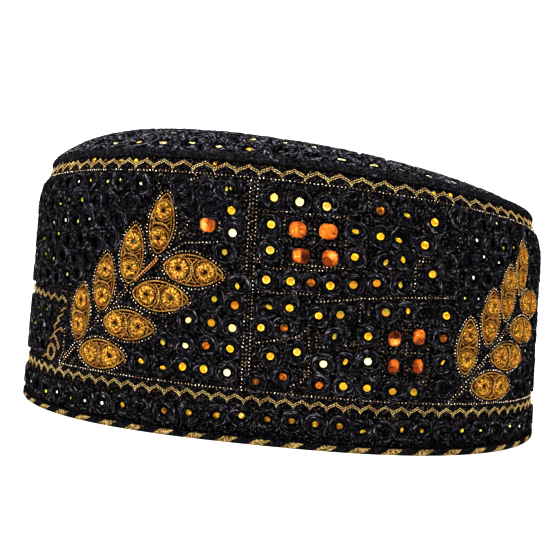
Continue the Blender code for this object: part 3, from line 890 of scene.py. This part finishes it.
def make_whipping(name, places, reach=3.45 * MM, arcs=4):
    """Thin cord stitched in short arcs close round the rings, a few arcs to a ring."""
    turn = np.radians(np.linspace(-27, 27, 7))
    arc = np.column_stack([np.cos(turn) * reach, np.sin(turn) * reach, np.full(7, 0.5 * MM)])
    repeated = np.concatenate([places] * arcs)
    turns = rng.uniform(0, 2 * math.pi, len(repeated))
    scales = rng.uniform(0.86, 1.12, len(repeated))
    add_cords(name, arc, 0.15 * MM, repeated, turns, whipping_finish, scales, sides=4)


def make_toned_sequins(name, places, tones, size, finish):
    """Sequins over one half, repeated on the other; the tone letter gives tint and shape."""
    shown = ~np.isin(tones, ("k", "e"))
    places, tones = places[shown], tones[shown]
    partial = (tones == "c")[:, None]
    small = np.isin(tones, ("n", "q"))[:, None]
    places = places + np.where(partial, 0.45 * MM, 0.0) * rng.choice((-1.0, 1.0), places.shape)
    scales = size * np.where(partial, (0.85, 0.5), np.where(small, (0.8, 0.66), (1.0, 1.0)))
    tints = np.tile([TONES[tone] for tone in tones], 2)
    make_sequins(name, both_halves(places), finish, lay_on_band, tints, np.tile(scales, (2, 1)))


def make_painted_glints(name, places, least, lift):
    """Painted glints: narrow bright slivers of foil, each of its own size, deep in the eyes of dark
    rings.
    """
    tints = rng.choice((0.75, 0.88, 1.0), len(places))
    scales = rng.uniform(least, 0.5, (len(places), 2))
    make_sequins(name, places, dark_foil, lay_on_band, tints, scales, lift, 0.4 * MM)


# One black rayon painted at three brightnesses, as painted light and shade: the whipping lighter than
# the rings, the crown's cord darker and lit over the top of its section.
cord_finish = black_cord("black_cord", 1.25)
whipping_finish = black_cord("black_whipping", 1.5, 1.6, 2.0)
crown_cord_finish = black_cord("crown_cord", 0.62, 20.0, 18.0, (0.58, 1.0, 0.74, 0.12))
gold_foil = foil("gold_foil", 0.22, (0.0, (0.006, 0.003, 0.002)), (0.27, (0.06, 0.022, 0.004)),
                 (0.36, (0.42, 0.085, 0.006)), (0.46, (0.24, 0.125, 0.007)), (0.55, (0.17, 0.165, 0.02)),
                 (0.66, (0.50, 0.27, 0.010)), (0.76, (0.74, 0.44, 0.016)), (0.88, (0.72, 0.55, 0.14)),
                 (1.0, (0.85, 0.74, 0.36)), heart=(0.42, 0.15, 0.004))
border_foil = foil("border_foil", 0.3, (0.2, (0.02, 0.008, 0.002)), (0.4, (0.14, 0.045, 0.004)),
                   (0.55, (0.24, 0.125, 0.008)), (0.7, (0.46, 0.27, 0.012)), (0.9, (0.70, 0.50, 0.07)),
                   (1.0, (0.85, 0.74, 0.36)), mottle=1.5)
# Dark foil: its upper stops are painted glints, used by the bright slivers in the rings' eyes.
dark_foil = foil("dark_foil", 0.15, (0.0, (0.002, 0.002, 0.003)), (0.6, (0.008, 0.008, 0.010)),
                 (0.75, (0.45, 0.40, 0.04)), (0.88, (0.40, 0.50, 0.14)), (1.0, (0.85, 0.88, 0.88)),
                 edge_glare=0.08)
panel, tones = charted_rings(PANEL_RINGS)
field = field_places()
field += rng.normal(0, 0.45 * MM, field.shape)
border, border_tones = border_rings()
make_rings("panel_rings", both_halves(panel), lay_on_band)
make_rings("field_rings_front", field, lay_on_band)
make_rings("field_rings_back", field + [HALF_GIRTH, 0], lay_on_band)
make_rings("border_rings", both_halves(border), lay_on_band, BORDER_SIZE)
make_whipping("panel_whipping", both_halves(panel))
make_whipping("field_whipping", both_halves(field), arcs=3)
make_whipping("border_whipping", both_halves(border), 3.65 * MM)
make_toned_sequins("panel_sequins", panel, tones, 1.0, gold_foil)
make_toned_sequins("border_sequins", border, border_tones, 0.8, border_foil)
# Painted glints in the eyes of about half the field's rings.
eyes = both_halves(field)
eyes = eyes[rng.uniform(0, 1, len(eyes)) < 0.45]
make_sequins("field_sequins", both_halves(field), dark_foil, lay_on_band, 0.1, 1.15)
make_painted_glints("field_painted_glints", eyes, 0.2, 0.75 * MM)
make_painted_glints("border_painted_glints", both_halves(border[border_tones == "e"]), 0.25, 0.8 * MM)

# Gimp zigzags: two strands of pale gold gimp laid side by side in even teeth and caught down
# below each turn, round the top and bottom of the field and across its plain part. Small foil
# bits lie in the upper one's notches, and a sprig in brown-gold thread at each panel's left.
GIMP_RADIUS, GIMP_APART = 0.095 * MM, 0.29 * MM
UPPER_ZIGZAG = {"low": 77.1 * MM, "high": 78.9 * MM, "teeth": 93, "start": 0.45}
LOWER_ZIGZAG = {"low": 12.9 * MM, "high": 14.55 * MM, "teeth": 122, "start": 0.2}
FIELD_TOOTH, FIELD_SWING = 4.9 * MM, 0.8 * MM
NOTCH_HEIGHT, FOILED_FROM, FOILED_TO = 78.7 * MM, -110 * MM, -12 * MM
FRONTS = both_halves([(0.0, 0.0)])
MOTIF_COIL = (-72.0, 18.8)
MOTIF_RUNS = (
    "-64.3 33.5, -66.0 33.3, -67.2 32.3",
    "-66.0 31.4, -67.6 30.9, -69.0 30.0, -68.6 28.9, -67.6 29.4, -69.6 28.2, -71.0 27.6, -70.2 26.6",
    "-65.5 26.0, -66.8 27.1, -68.4 26.3, -69.6 25.6, -70.7 25.2, -71.4 24.0, -73.2 22.9",
    "-72.0 23.6, -70.9 24.4, -69.4 23.6, -68.2 22.2, -67.4 20.3",
    "-74.5 17.8, -76.0 17.3, -77.6 16.6",
)


def zigzag_round(low, high, teeth, start):
    """A triangle wave with slightly bowed legs once round the girth, four points to a leg."""
    phase = np.arange(teeth * 8) / 8
    wave = np.abs((phase % 1.0) * 2 - 1)
    wave += 0.07 * np.sin(wave * 2 * math.pi)
    along = (phase + start) / teeth * GIRTH
    return np.stack([along, low + (high - low) * wave, np.full(len(phase), 0.35 * MM)], -1)


def tooth_middles(teeth, start, height):
    """The lower turn of every tooth, half way through its wave."""
    return np.column_stack([(np.arange(teeth) + 0.5 + start) / teeth * GIRTH, np.full(teeth, height)])


def make_zigzag(name, low, high, teeth, start):
    """Two strands side by side round the girth, and a small open stitch below each lower turn."""
    path = zigzag_round(low, high, teeth, start)
    for strand, shift in enumerate((-GIMP_APART, GIMP_APART)):
        moved = path + [0, shift, 0]
        moved[:, 1] += rng.normal(0, 0.03 * MM, len(path))
        run = np.roll(moved, -1, 0) - np.roll(moved, 1, 0)
        run[0, 0] += GIRTH
        run[-1, 0] += GIRTH
        points, faces, uv = tube_shape(moved, GIMP_RADIUS, closed=True, run=run)
        strand_name = f"{name}_strand_{strand + 1}"
        add_piece(strand_name, lay_on_band(points), faces, gimp_gold, uv=uv)
    tail = np.array([(-0.42, 0.35), (-0.16, -0.2), (0.0, -0.6), (0.16, -0.2), (0.42, 0.35)]) * MM
    middles = tooth_middles(teeth, start, low - 0.35 * MM)
    path = np.column_stack([tail, np.full(5, 0.3 * MM)])
    add_cords(f"{name}_tails", path, GIMP_RADIUS * 0.9, middles, None, gimp_gold)


def along_corners(corners, pitch):
    """Points every pitch along straight runs between corners, with the run's side direction."""
    corners = np.asarray(corners, float)
    runs = np.diff(corners, axis=0)
    length = np.concatenate([[0], np.cumsum(np.linalg.norm(runs, axis=1))])
    at = np.arange(0, length[-1] + pitch * 0.01, pitch)
    places = np.column_stack([np.interp(at, length, corners[:, k]) for k in range(2)])
    leg = np.clip(np.searchsorted(length, at, "right") - 1, 0, len(runs) - 1)
    run = runs[leg] / np.linalg.norm(runs[leg], axis=1, keepdims=True)
    return places, np.column_stack([-run[:, 1], run[:, 0]])


def make_field_zigzag():
    """A triangle wave swung to both sides of charted straight runs, in two strands."""
    places, side = along_corners(np.array(FIELD_ZIGZAG) * MM, FIELD_TOOTH / 4)
    swing = np.abs((np.arange(len(places)) / 4 % 1.0) * 4 - 2) - 1
    places = places + side * swing[:, None] * FIELD_SWING
    path = np.column_stack([places, np.full(len(places), 0.5 * MM)])
    for strand, shift in enumerate((-GIMP_APART, GIMP_APART)):
        name = f"field_zigzag_strand_{strand + 1}"
        add_cords(name, path + [0, shift, 0], GIMP_RADIUS * 0.9, FRONTS, None, gimp_gold)


def make_motif():
    """A sprig scribbled in thin brown-gold thread at the left of each panel, over a coil."""
    runs = [np.array([corner.split() for corner in run.split(",")], float) for run in MOTIF_RUNS]
    turn = np.linspace(0, 4 * math.pi, 29)
    reach = np.linspace(2.7, 1.8, 29)
    runs.append(np.column_stack([reach * np.cos(turn), reach * np.sin(turn)]) + MOTIF_COIL)
    for number, run in enumerate(runs):
        path = at_rim(run * MM)
        fine = np.linspace(0, len(path) - 1, 4 * len(path))
        path = np.column_stack([np.interp(fine, np.arange(len(path)), path[:, k]) for k in range(2)])
        for strand, shift in enumerate((-0.22 * MM, 0.22 * MM)):
            moved = path + [shift, shift] + rng.normal(0, 0.07 * MM, path.shape)
            moved = np.column_stack([moved, np.full(len(moved), 0.4 * MM)])
            name = f"motif_{number + 1}_{strand + 1}"
            add_cords(name, moved, 0.11 * MM, FRONTS, None, motif_thread)


gimp_gold = gold_thread("gimp_gold", 1.3, (0.03, 0.010, 0.003), (0.80, 0.50, 0.09),
                        (1.0, 0.88, 0.40), worn=0.6)
motif_thread = gold_thread("motif_thread", 1.5, (0.006, 0.002, 0.001), (0.14, 0.06, 0.014),
                           (0.85, 0.56, 0.22), 2.0, 0.3, 0.4)
make_zigzag("upper_zigzag", **UPPER_ZIGZAG)
make_zigzag("lower_zigzag", **LOWER_ZIGZAG)
make_field_zigzag()
make_motif()
notches = tooth_middles(UPPER_ZIGZAG["teeth"], UPPER_ZIGZAG["start"], NOTCH_HEIGHT)
along = from_front(notches[:, 0])
often = np.where((along > FOILED_FROM) & (along < FOILED_TO), 0.8, 0.15)
notches = notches[rng.uniform(0, 1, len(notches)) < often]
notch_tints = rng.choice((0.27, 0.36, 0.46, 0.66, 0.76), len(notches))
notch_scales = rng.uniform((0.35, 0.25), (0.85, 0.5), (len(notches), 2))
notch_turns = rng.normal(0, 0.5, len(notches))
make_sequins("notch_foils", notches, gold_foil, lay_on_band, notch_tints, notch_scales, 0.4 * MM,
             0.35 * MM, notch_turns)

# Bead lines: tiny pale metal beads backstitched in rows beside the zigzags, round the leaves,
# along the stems and between the sequin rings, with duller beads in fainter rows and glitter
# scattered between. A run is its corners, along and up in millimetres.
BEAD_RADIUS, BEAD_PITCH, FAINT_PITCH, LEAST_BEAD_GAP = 0.205 * MM, 1.05 * MM, 1.2 * MM, 0.88 * MM
UPPER_ROW, LOWER_ROW = 75.7 * MM, 16.1 * MM
LOWER_ROW_FROM, LOWER_ROW_TO = -67 * MM, 118 * MM
LEAF_BEADS_OUT = 0.95 * MM
BEAD_RUNS = (
    "-2.3 17.0, -2.3 75.2",
    "-0.3 17.0, -0.3 75.2",
    "7.0 67.3, 23.7 67.3",
    "9.5 53.2, 24.3 53.6",
    "0.4 54.8, 1.5 52.6, 4.0 51.7, 10.0 51.7, 18.0 52.2, 25.0 53.4",
    "0.4 44.6, 13.0 45.3, 19.5 45.6",
    "17.8 43.4, 31.0 45.7, 42.0 47.0, 59.4 48.4",
    "45.3 49.4, 45.3 57.9, 50.0 58.1",
    "44.0 64.2, 44.3 59.5",
    "59.3 49.2, 59.3 59.0",
    "0.3 28.3, 1.5 30.2, 4.5 31.0, 9.0 32.0, 13.0 33.0, 15.5 35.5, 17.0 39.0, 17.2 42.5",
    "16.2 33.0, 16.4 27.0, 16.8 23.0, 14.5 19.8, 11.0 18.3",
    "18.2 36.7, 18.3 30.5, 22.0 31.0, 29.5 32.2",
    "-25.7 53.2, -20.4 56.3, -10.0 57.4",
    "-24.3 69.8, -20.8 73.3, -16.7 74.5, -11.7 74.9",
    "-21.7 57.5, -19.6 62.0, -16.7 64.8, -12.9 65.6, -10.6 62.8, -10.2 59.5",
    "-64.6 27.0, -64.9 20.0, -66.6 16.6",
)
FAINT_RUNS = (
    "-1.3 17.0, -1.3 75.2",
    "7.6 67.3, 7.6 53.7",
    "24.6 67.3, 24.6 53.7",
    "30.3 75.0, 30.3 51.5",
    "30.0 44.0, 30.0 22.0",
    "0.5 59.8, 7.0 59.8",
    "0.5 66.8, 7.0 67.2",
    "36.9 44.0, 36.9 22.6, 51.2 22.6, 51.2 39.4, 36.9 39.4",
    "37.5 31.0, 51.0 31.2",
    "44.3 39.0, 44.3 23.0",
    "59.3 59.0, 59.3 75.0",
    "16.0 67.0, 16.0 54.0",
    "8.5 59.5, 24.0 59.7",
    "1.0 23.5, 16.0 23.8",
    "17.5 23.2, 36.0 23.4",
    "-70.0 38.9, -64.2 38.4",
)
STRAY_SPECKS = 800


def bead_shape():
    """A six-sided bead, three circles high, half sunk in the cloth."""
    turn = np.arange(6) / 6 * 2 * math.pi
    rise = np.radians([-35, 20, 62])
    reach, lift = np.cos(rise) * BEAD_RADIUS, np.sin(rise) * BEAD_RADIUS
    x, y = reach[:, None] * np.cos(turn), reach[:, None] * np.sin(turn)
    points = np.stack(np.broadcast_arrays(x, y, lift[:, None]), -1)
    caps = np.stack([np.arange(6)[::-1], 12 + np.arange(6)])
    return points.reshape(-1, 3), [grid_faces(3, 6, closed_columns=True), caps]


def leaf_bead_places():
    """Beads round one leaf: its outline pushed out along its own normal, at an even pitch."""
    loop = leaf_loop(60)
    run = np.roll(loop, -1, 0) - np.roll(loop, 1, 0)
    normal = np.column_stack([-run[:, 1], run[:, 0]])
    normal /= np.linalg.norm(normal, axis=1, keepdims=True)
    loop = loop + normal * LEAF_BEADS_OUT
    return along_corners(np.concatenate([loop, loop[:1]]), BEAD_PITCH)[0]


def run_places(runs, pitch):
    """Beads along each charted run of corners."""
    corners = [np.array([corner.split() for corner in run.split(",")], float) * MM for run in runs]
    return at_rim(np.concatenate([along_corners(run, pitch)[0] for run in corners]))


def bead_places():
    """Every bright bead of the cap: rows round the girth, runs in the panel, leaves and stems."""
    count = round(GIRTH / BEAD_PITCH)
    row = np.arange(count) / count * GIRTH
    along = from_front(row)
    low_row = row[(along > LOWER_ROW_FROM) & (along < LOWER_ROW_TO)]
    rounds = [np.column_stack([row, np.full(count, UPPER_ROW)])]
    rounds.append(np.column_stack([low_row, np.full(len(low_row), LOWER_ROW)]))
    runs = [run_places(BEAD_RUNS, BEAD_PITCH)]
    outline = leaf_bead_places()
    leaves = leaf_places()
    for (x, z, turn), scale in zip(leaves, leaf_scales(leaves[:, 2])):
        axis = np.array([math.cos(turn), math.sin(turn)])
        across = np.array([-axis[1], axis[0]])
        along = outline[:, :1] * scale[0] * axis
        runs.append(np.array([x, z]) + along + outline[:, 1:] * scale[1] * across)
    for foot, tip in stem_runs():
        lower, side = along_corners([foot, foot + (tip - foot) * 0.82], BEAD_PITCH)
        runs += [lower + side * apart for apart in (-0.5 * MM, 0.5 * MM)]
    return np.concatenate(rounds + [both_halves(thinned(np.concatenate(runs)))])


def thinned(places):
    """Beads that would lie on a leaf, or on a bead set before them, are left out."""
    for x, z, turn in leaf_places():
        away = places - [x, z]
        along = np.abs(away @ [math.cos(turn), math.sin(turn)]) / (LEAF_LENGTH / 2)
        across = np.abs(away @ [-math.sin(turn), math.cos(turn)]) / (LEAF_WIDTH / 2)
        places = places[along**1.4 + across**1.4 > 1.05]
    apart = np.linalg.norm(places[:, None] - places[None, :], axis=-1)
    earlier = np.tril(apart < LEAST_BEAD_GAP, -1)
    return places[~earlier.any(1)]


def speck_places():
    """Loose glitter of the panel and the zigzag lanes, scattered evenly at random."""
    inside = rng.uniform((-30 * MM, 17 * MM), (59 * MM, 75 * MM), (STRAY_SPECKS // 2, 2))
    lanes = rng.uniform((0, 0), (GIRTH, 3 * MM), (STRAY_SPECKS // 3, 2))
    lanes[:, 1] += np.where(rng.uniform(0, 1, len(lanes)) < 0.5, 77.2 * MM, 12.4 * MM)
    return np.concatenate([both_halves(inside), lanes])


def make_beads(name, places, lift, finish, size=1.0):
    """Beads at places, each a little uneven in size and set."""
    shape, faces = bead_shape()
    count = len(places)
    moved = places + rng.normal(0, 0.06 * MM, places.shape)
    middles = np.column_stack([moved, np.full(count, lift)])
    flat, sets = turned_copies(shape, faces, middles, None, rng.uniform(0.75, 1.15, count) * size)
    tint = np.repeat(rng.uniform(0, 1, count), len(shape))
    return add_piece(name, lay_on_band(flat), sets, finish, tint=tint)


bead_metal = foil("bead_metal", 0.25, (0.0, (0.12, 0.06, 0.025)), (0.4, (0.44, 0.30, 0.13)),
                  (1.0, (1.0, 0.92, 0.74)))
faint_metal = foil("faint_metal", 0.3, (0.0, (0.03, 0.016, 0.008)), (0.6, (0.20, 0.13, 0.06)),
                   (1.0, (0.75, 0.60, 0.36)))
faint_places = both_halves(run_places(FAINT_RUNS, FAINT_PITCH))
make_beads("bead_lines", bead_places(), 0.3 * MM, bead_metal)
make_beads("faint_beads", faint_places, 0.25 * MM, faint_metal, 0.85)
make_beads("glitter", speck_places(), 0.15 * MM, faint_metal, 0.75)

# Crown: a low stiffened dome, seamed on under the welt and worked all over in rows of thick
# cord rings that follow the seam, with a narrow gold sequin in most of them.
CROWN_RISE, CROWN_POWER, CROWN_LEAN = 14.4 * MM, 5.75, -0.44
CROWN_WALL, CROWN_INSET = 1.8 * MM, 1.0 * MM
LOOP_PITCH, LOOP_ROW, LOOP_LEAN = 9.0 * MM, 7.8 * MM, math.radians(33)


def on_crown(x, y):
    """Height over the plan: one less the seam share to a power, fuller towards -X."""
    half_length, half_width, power = plan_sizes(1.0, CROWN_INSET)
    share = ((np.abs(x) / half_length) ** power + (np.abs(y) / half_width) ** power) ** (1 / power)
    share = np.clip(share, 0, 1)
    rise = CROWN_RISE * (1 - share**CROWN_POWER) * (1 + CROWN_LEAN * x / HALF_LENGTH)
    return np.stack([x, y, seam_lift(1.0, x) + rise], -1)


def lay_on_crown(flat):
    """Flat points (x, y, out) set on the dome, out along its normal."""
    step = 0.5 * MM
    x, y = flat[..., 0], flat[..., 1]
    along = on_crown(x + step, y) - on_crown(x - step, y)
    normal = np.cross(along, on_crown(x, y + step) - on_crown(x, y - step))
    normal /= np.linalg.norm(normal, axis=-1, keepdims=True)
    return on_crown(x, y) + normal * flat[..., 2:3]


def make_crown():
    """Rings of the seam curve drawn in to the middle, over the dome and back under it."""
    shares = np.concatenate([np.linspace(0.97, 0.85, 10), np.linspace(0.82, 0.02, 22)])
    angle = np.arange(240) / 240 * 2 * math.pi
    x, y = plan_curve(angle, 1.0, CROWN_INSET)
    top = on_crown(shares[:, None] * x, shares[:, None] * y)
    under = top - [0, 0, CROWN_WALL]
    points = np.concatenate([under[::-1], top]).reshape(-1, 3)
    rows = 2 * len(shares)
    caps = np.stack([np.arange(240)[::-1], (rows - 1) * 240 + np.arange(240)])
    faces = grid_faces(rows, 240, closed_columns=True)
    cloth = bpy.data.materials["band_cloth"]
    add_piece("crown_cloth", points, [faces, caps], cloth, ["crown"])


def crown_places():
    """Rows of places that follow the seam curve inwards, with the row's direction at each."""
    half_length, half_width, power = plan_sizes(1.0, CROWN_INSET)
    places = []
    reach = half_width - 5.0 * MM
    while reach > 0:
        share = reach / half_width
        angles = np.linspace(0, 2 * math.pi, 721)
        x, y = plan_curve(angles, 1.0, CROWN_INSET)
        x, y = x * share, y * share
        length = np.concatenate([[0], np.cumsum(np.hypot(np.diff(x), np.diff(y)))])
        count = max(1, round(length[-1] / LOOP_PITCH))
        at = np.interp((np.arange(count) + 0.5 * (len(places) % 2)) / count * length[-1], length, angles)
        x, y = plan_curve(at, 1.0, CROWN_INSET)
        ahead_x, ahead_y = plan_curve(at + 0.01, 1.0, CROWN_INSET)
        turns = np.arctan2(ahead_y - y, ahead_x - x) + LOOP_LEAN
        places.append(np.column_stack([x * share, y * share, turns]))
        reach -= LOOP_ROW
    return np.concatenate(places)


make_crown()
loops = crown_places()
make_rings("crown_loops", loops[:, :2], lay_on_crown, 1.42, loops[:, 2], (1.1, 0.88),
           -0.9 * MM, 24, 10, 1.05, crown_cord_finish)
shown = loops[rng.uniform(0, 1, len(loops)) < 0.8]
tints = rng.choice((0.1, 0.66, 0.88, 0.92, 0.97), len(shown))
scales = rng.uniform((0.7, 0.3), (1.15, 0.55), (len(shown), 2))
make_sequins("crown_sequins", shown[:, :2], gold_foil, lay_on_crown, tints, scales, 0.75 * MM,
             0.4 * MM, shown[:, 2] - 0.6)

# Crown welt: a bias strip of plain black cloth rolled over a cord and sewn into the seam
# between band and crown, its ends joined at the back.
WELT_DIAMETER = 2.5 * MM
WELT_OVERHANG = 1.0 * MM


def welt_cloth():
    """Plain black bias cloth with a fine slanted twill, painted a little lighter than the band's cloth
    as painted light on its top-lit place, its pale flecks a painted sheen.
    """
    finish = plain_finish("welt_cloth", (0.014, 0.013, 0.017), 0.5)
    nodes = Nodes(finish)
    nodes.shader.inputs["Specular IOR Level"].default_value = 0.0
    place = nodes.coordinate("UV")
    turns = nodes.add("ShaderNodeTexWave", {"Vector": place, "Scale": 1.0, "Distortion": 3.0})
    grain = nodes.noise(nodes.coordinate(), 1500, 3, 0.75)
    tone = nodes.math("ADD", nodes.math("MULTIPLY", turns.outputs["Fac"], 0.12), grain)
    # Painted light: no specular, so the palest stops stand in for its sheen.
    nodes.join("Base Color", nodes.ramp(
        tone, (0.44, (0.0006, 0.0006, 0.0007)), (0.54, (0.0028, 0.0028, 0.0033)),
        (0.64, (0.009, 0.0085, 0.010)), (0.72, (0.026, 0.025, 0.029)), (0.84, (0.13, 0.12, 0.14))))
    nodes.bump(tone, 1.0, 0.0008)
    return finish


def make_welt():
    """A circle carried along the seam, its radius swelling in slanted turns and a little uneven."""
    share = 0.5 + np.arange(1200) / 1200
    turn = np.arange(12) / 12 * 2 * math.pi
    wound = np.sin(share[:, None] * 2 * math.pi * 150 + 2 * turn[None, :])
    radius = WELT_DIAMETER / 2 * (0.96 + 0.05 * wound + rng.normal(0, 0.03, (1200, 12)))
    angle = band_angle(share, np.ones(1200))[:, None]
    x, y = plan_curve(angle, 1.0, WELT_OVERHANG - WELT_DIAMETER / 2 + radius * np.cos(turn))
    z = seam_lift(1.0, x) + WELT_DIAMETER / 2 + radius * np.sin(turn)
    uv = np.stack(np.broadcast_arrays(share[:, None] * 600, turn[None, :] * 3), -1).reshape(-1, 2)
    faces = grid_faces(1200, 12, closed_rows=True, closed_columns=True)
    points = np.stack([x, y, z], -1).reshape(-1, 3)
    add_piece("welt_rib", points, [faces], welt_cloth(), ["crown_welt"], uv=uv)


make_welt()

# Edge binding: black tape with woven slanted gold stripes, folded over the rim and sewn through
# it, its ends joined at the back.
STRIPES, STRIPE_SHARE, STRIPE_SLANT = 61, 0.44, 0.36
BINDING_INSIDE, BINDING_CORNER = 0.6 * MM, 0.8 * MM


def binding_tape():
    """Stripes by the share of each slanted turn of tape, ribbed across in dark and light gold."""
    finish = plain_finish("binding_tape", (0.01, 0.01, 0.012), 0.45)
    nodes = Nodes(finish)
    nodes.shader.inputs["Specular IOR Level"].default_value = 0.0
    place = nodes.add("ShaderNodeSeparateXYZ", {"Vector": nodes.coordinate("UV")})
    slant = nodes.math("MULTIPLY", place.outputs["Y"], STRIPE_SLANT)
    slant = nodes.math("SUBTRACT", place.outputs["X"], slant)
    stripe = nodes.math("LESS_THAN", nodes.math("FRACT", slant), STRIPE_SHARE)
    stripe = nodes.math("MULTIPLY", stripe, nodes.math("LESS_THAN", place.outputs["Y"], 0.85))
    weave = nodes.noise(nodes.coordinate(), 1700, 3, 0.75)
    ribs = nodes.math("SINE", nodes.math("MULTIPLY", slant, 2 * math.pi * 18))
    ribbed = nodes.math("ADD", weave, nodes.math("MULTIPLY", ribs, 0.05))
    gold = nodes.ramp(ribbed, (0.42, (0.010, 0.005, 0.002)), (0.50, (0.09, 0.052, 0.013)),
                      (0.62, (0.38, 0.25, 0.085)))
    black = nodes.ramp(weave, (0.42, (0.0004, 0.0004, 0.0005)), (0.58, (0.003, 0.003, 0.0035)),
                       (0.72, (0.03, 0.028, 0.032)))
    nodes.join("Base Color", nodes.mix(stripe, black, gold))
    nodes.bump(weave, 0.8, 0.0003)
    return finish


def make_binding():
    """A flat-bottomed rounded outline carried round the rim, its ends joined at the back."""
    height = BINDING_HIGH.z
    outer, inner = BINDING_STANDS_OUT, -BAND_WALL - BINDING_INSIDE
    turn = np.linspace(0, math.pi / 2, 5)
    swing, fall = BINDING_CORNER * np.sin(turn), BINDING_CORNER * np.cos(turn)
    edge, back, top = outer - BINDING_CORNER, inner + BINDING_CORNER, height - BINDING_CORNER
    out = np.concatenate([edge + swing, edge + fall, back - swing, back - fall])
    up = np.concatenate([BINDING_CORNER - fall, top + swing, top + fall, BINDING_CORNER - swing])
    share = 0.5 + np.arange(480) / 480
    angle = band_angle(share, np.zeros(480))[:, None]
    x, y = plan_curve(angle, 0.0, out[None, :])
    z = np.broadcast_to(up[None, :], x.shape)
    uv = np.stack(np.broadcast_arrays(share[:, None] * STRIPES, up[None, :] / height), -1).reshape(-1, 2)
    faces = grid_faces(480, len(out), closed_rows=True, closed_columns=True)
    points = np.stack([x, y, z], -1).reshape(-1, 3)
    add_piece("binding_fold", points, [faces], binding_tape(), ["edge_binding"], uv=uv)


make_binding()
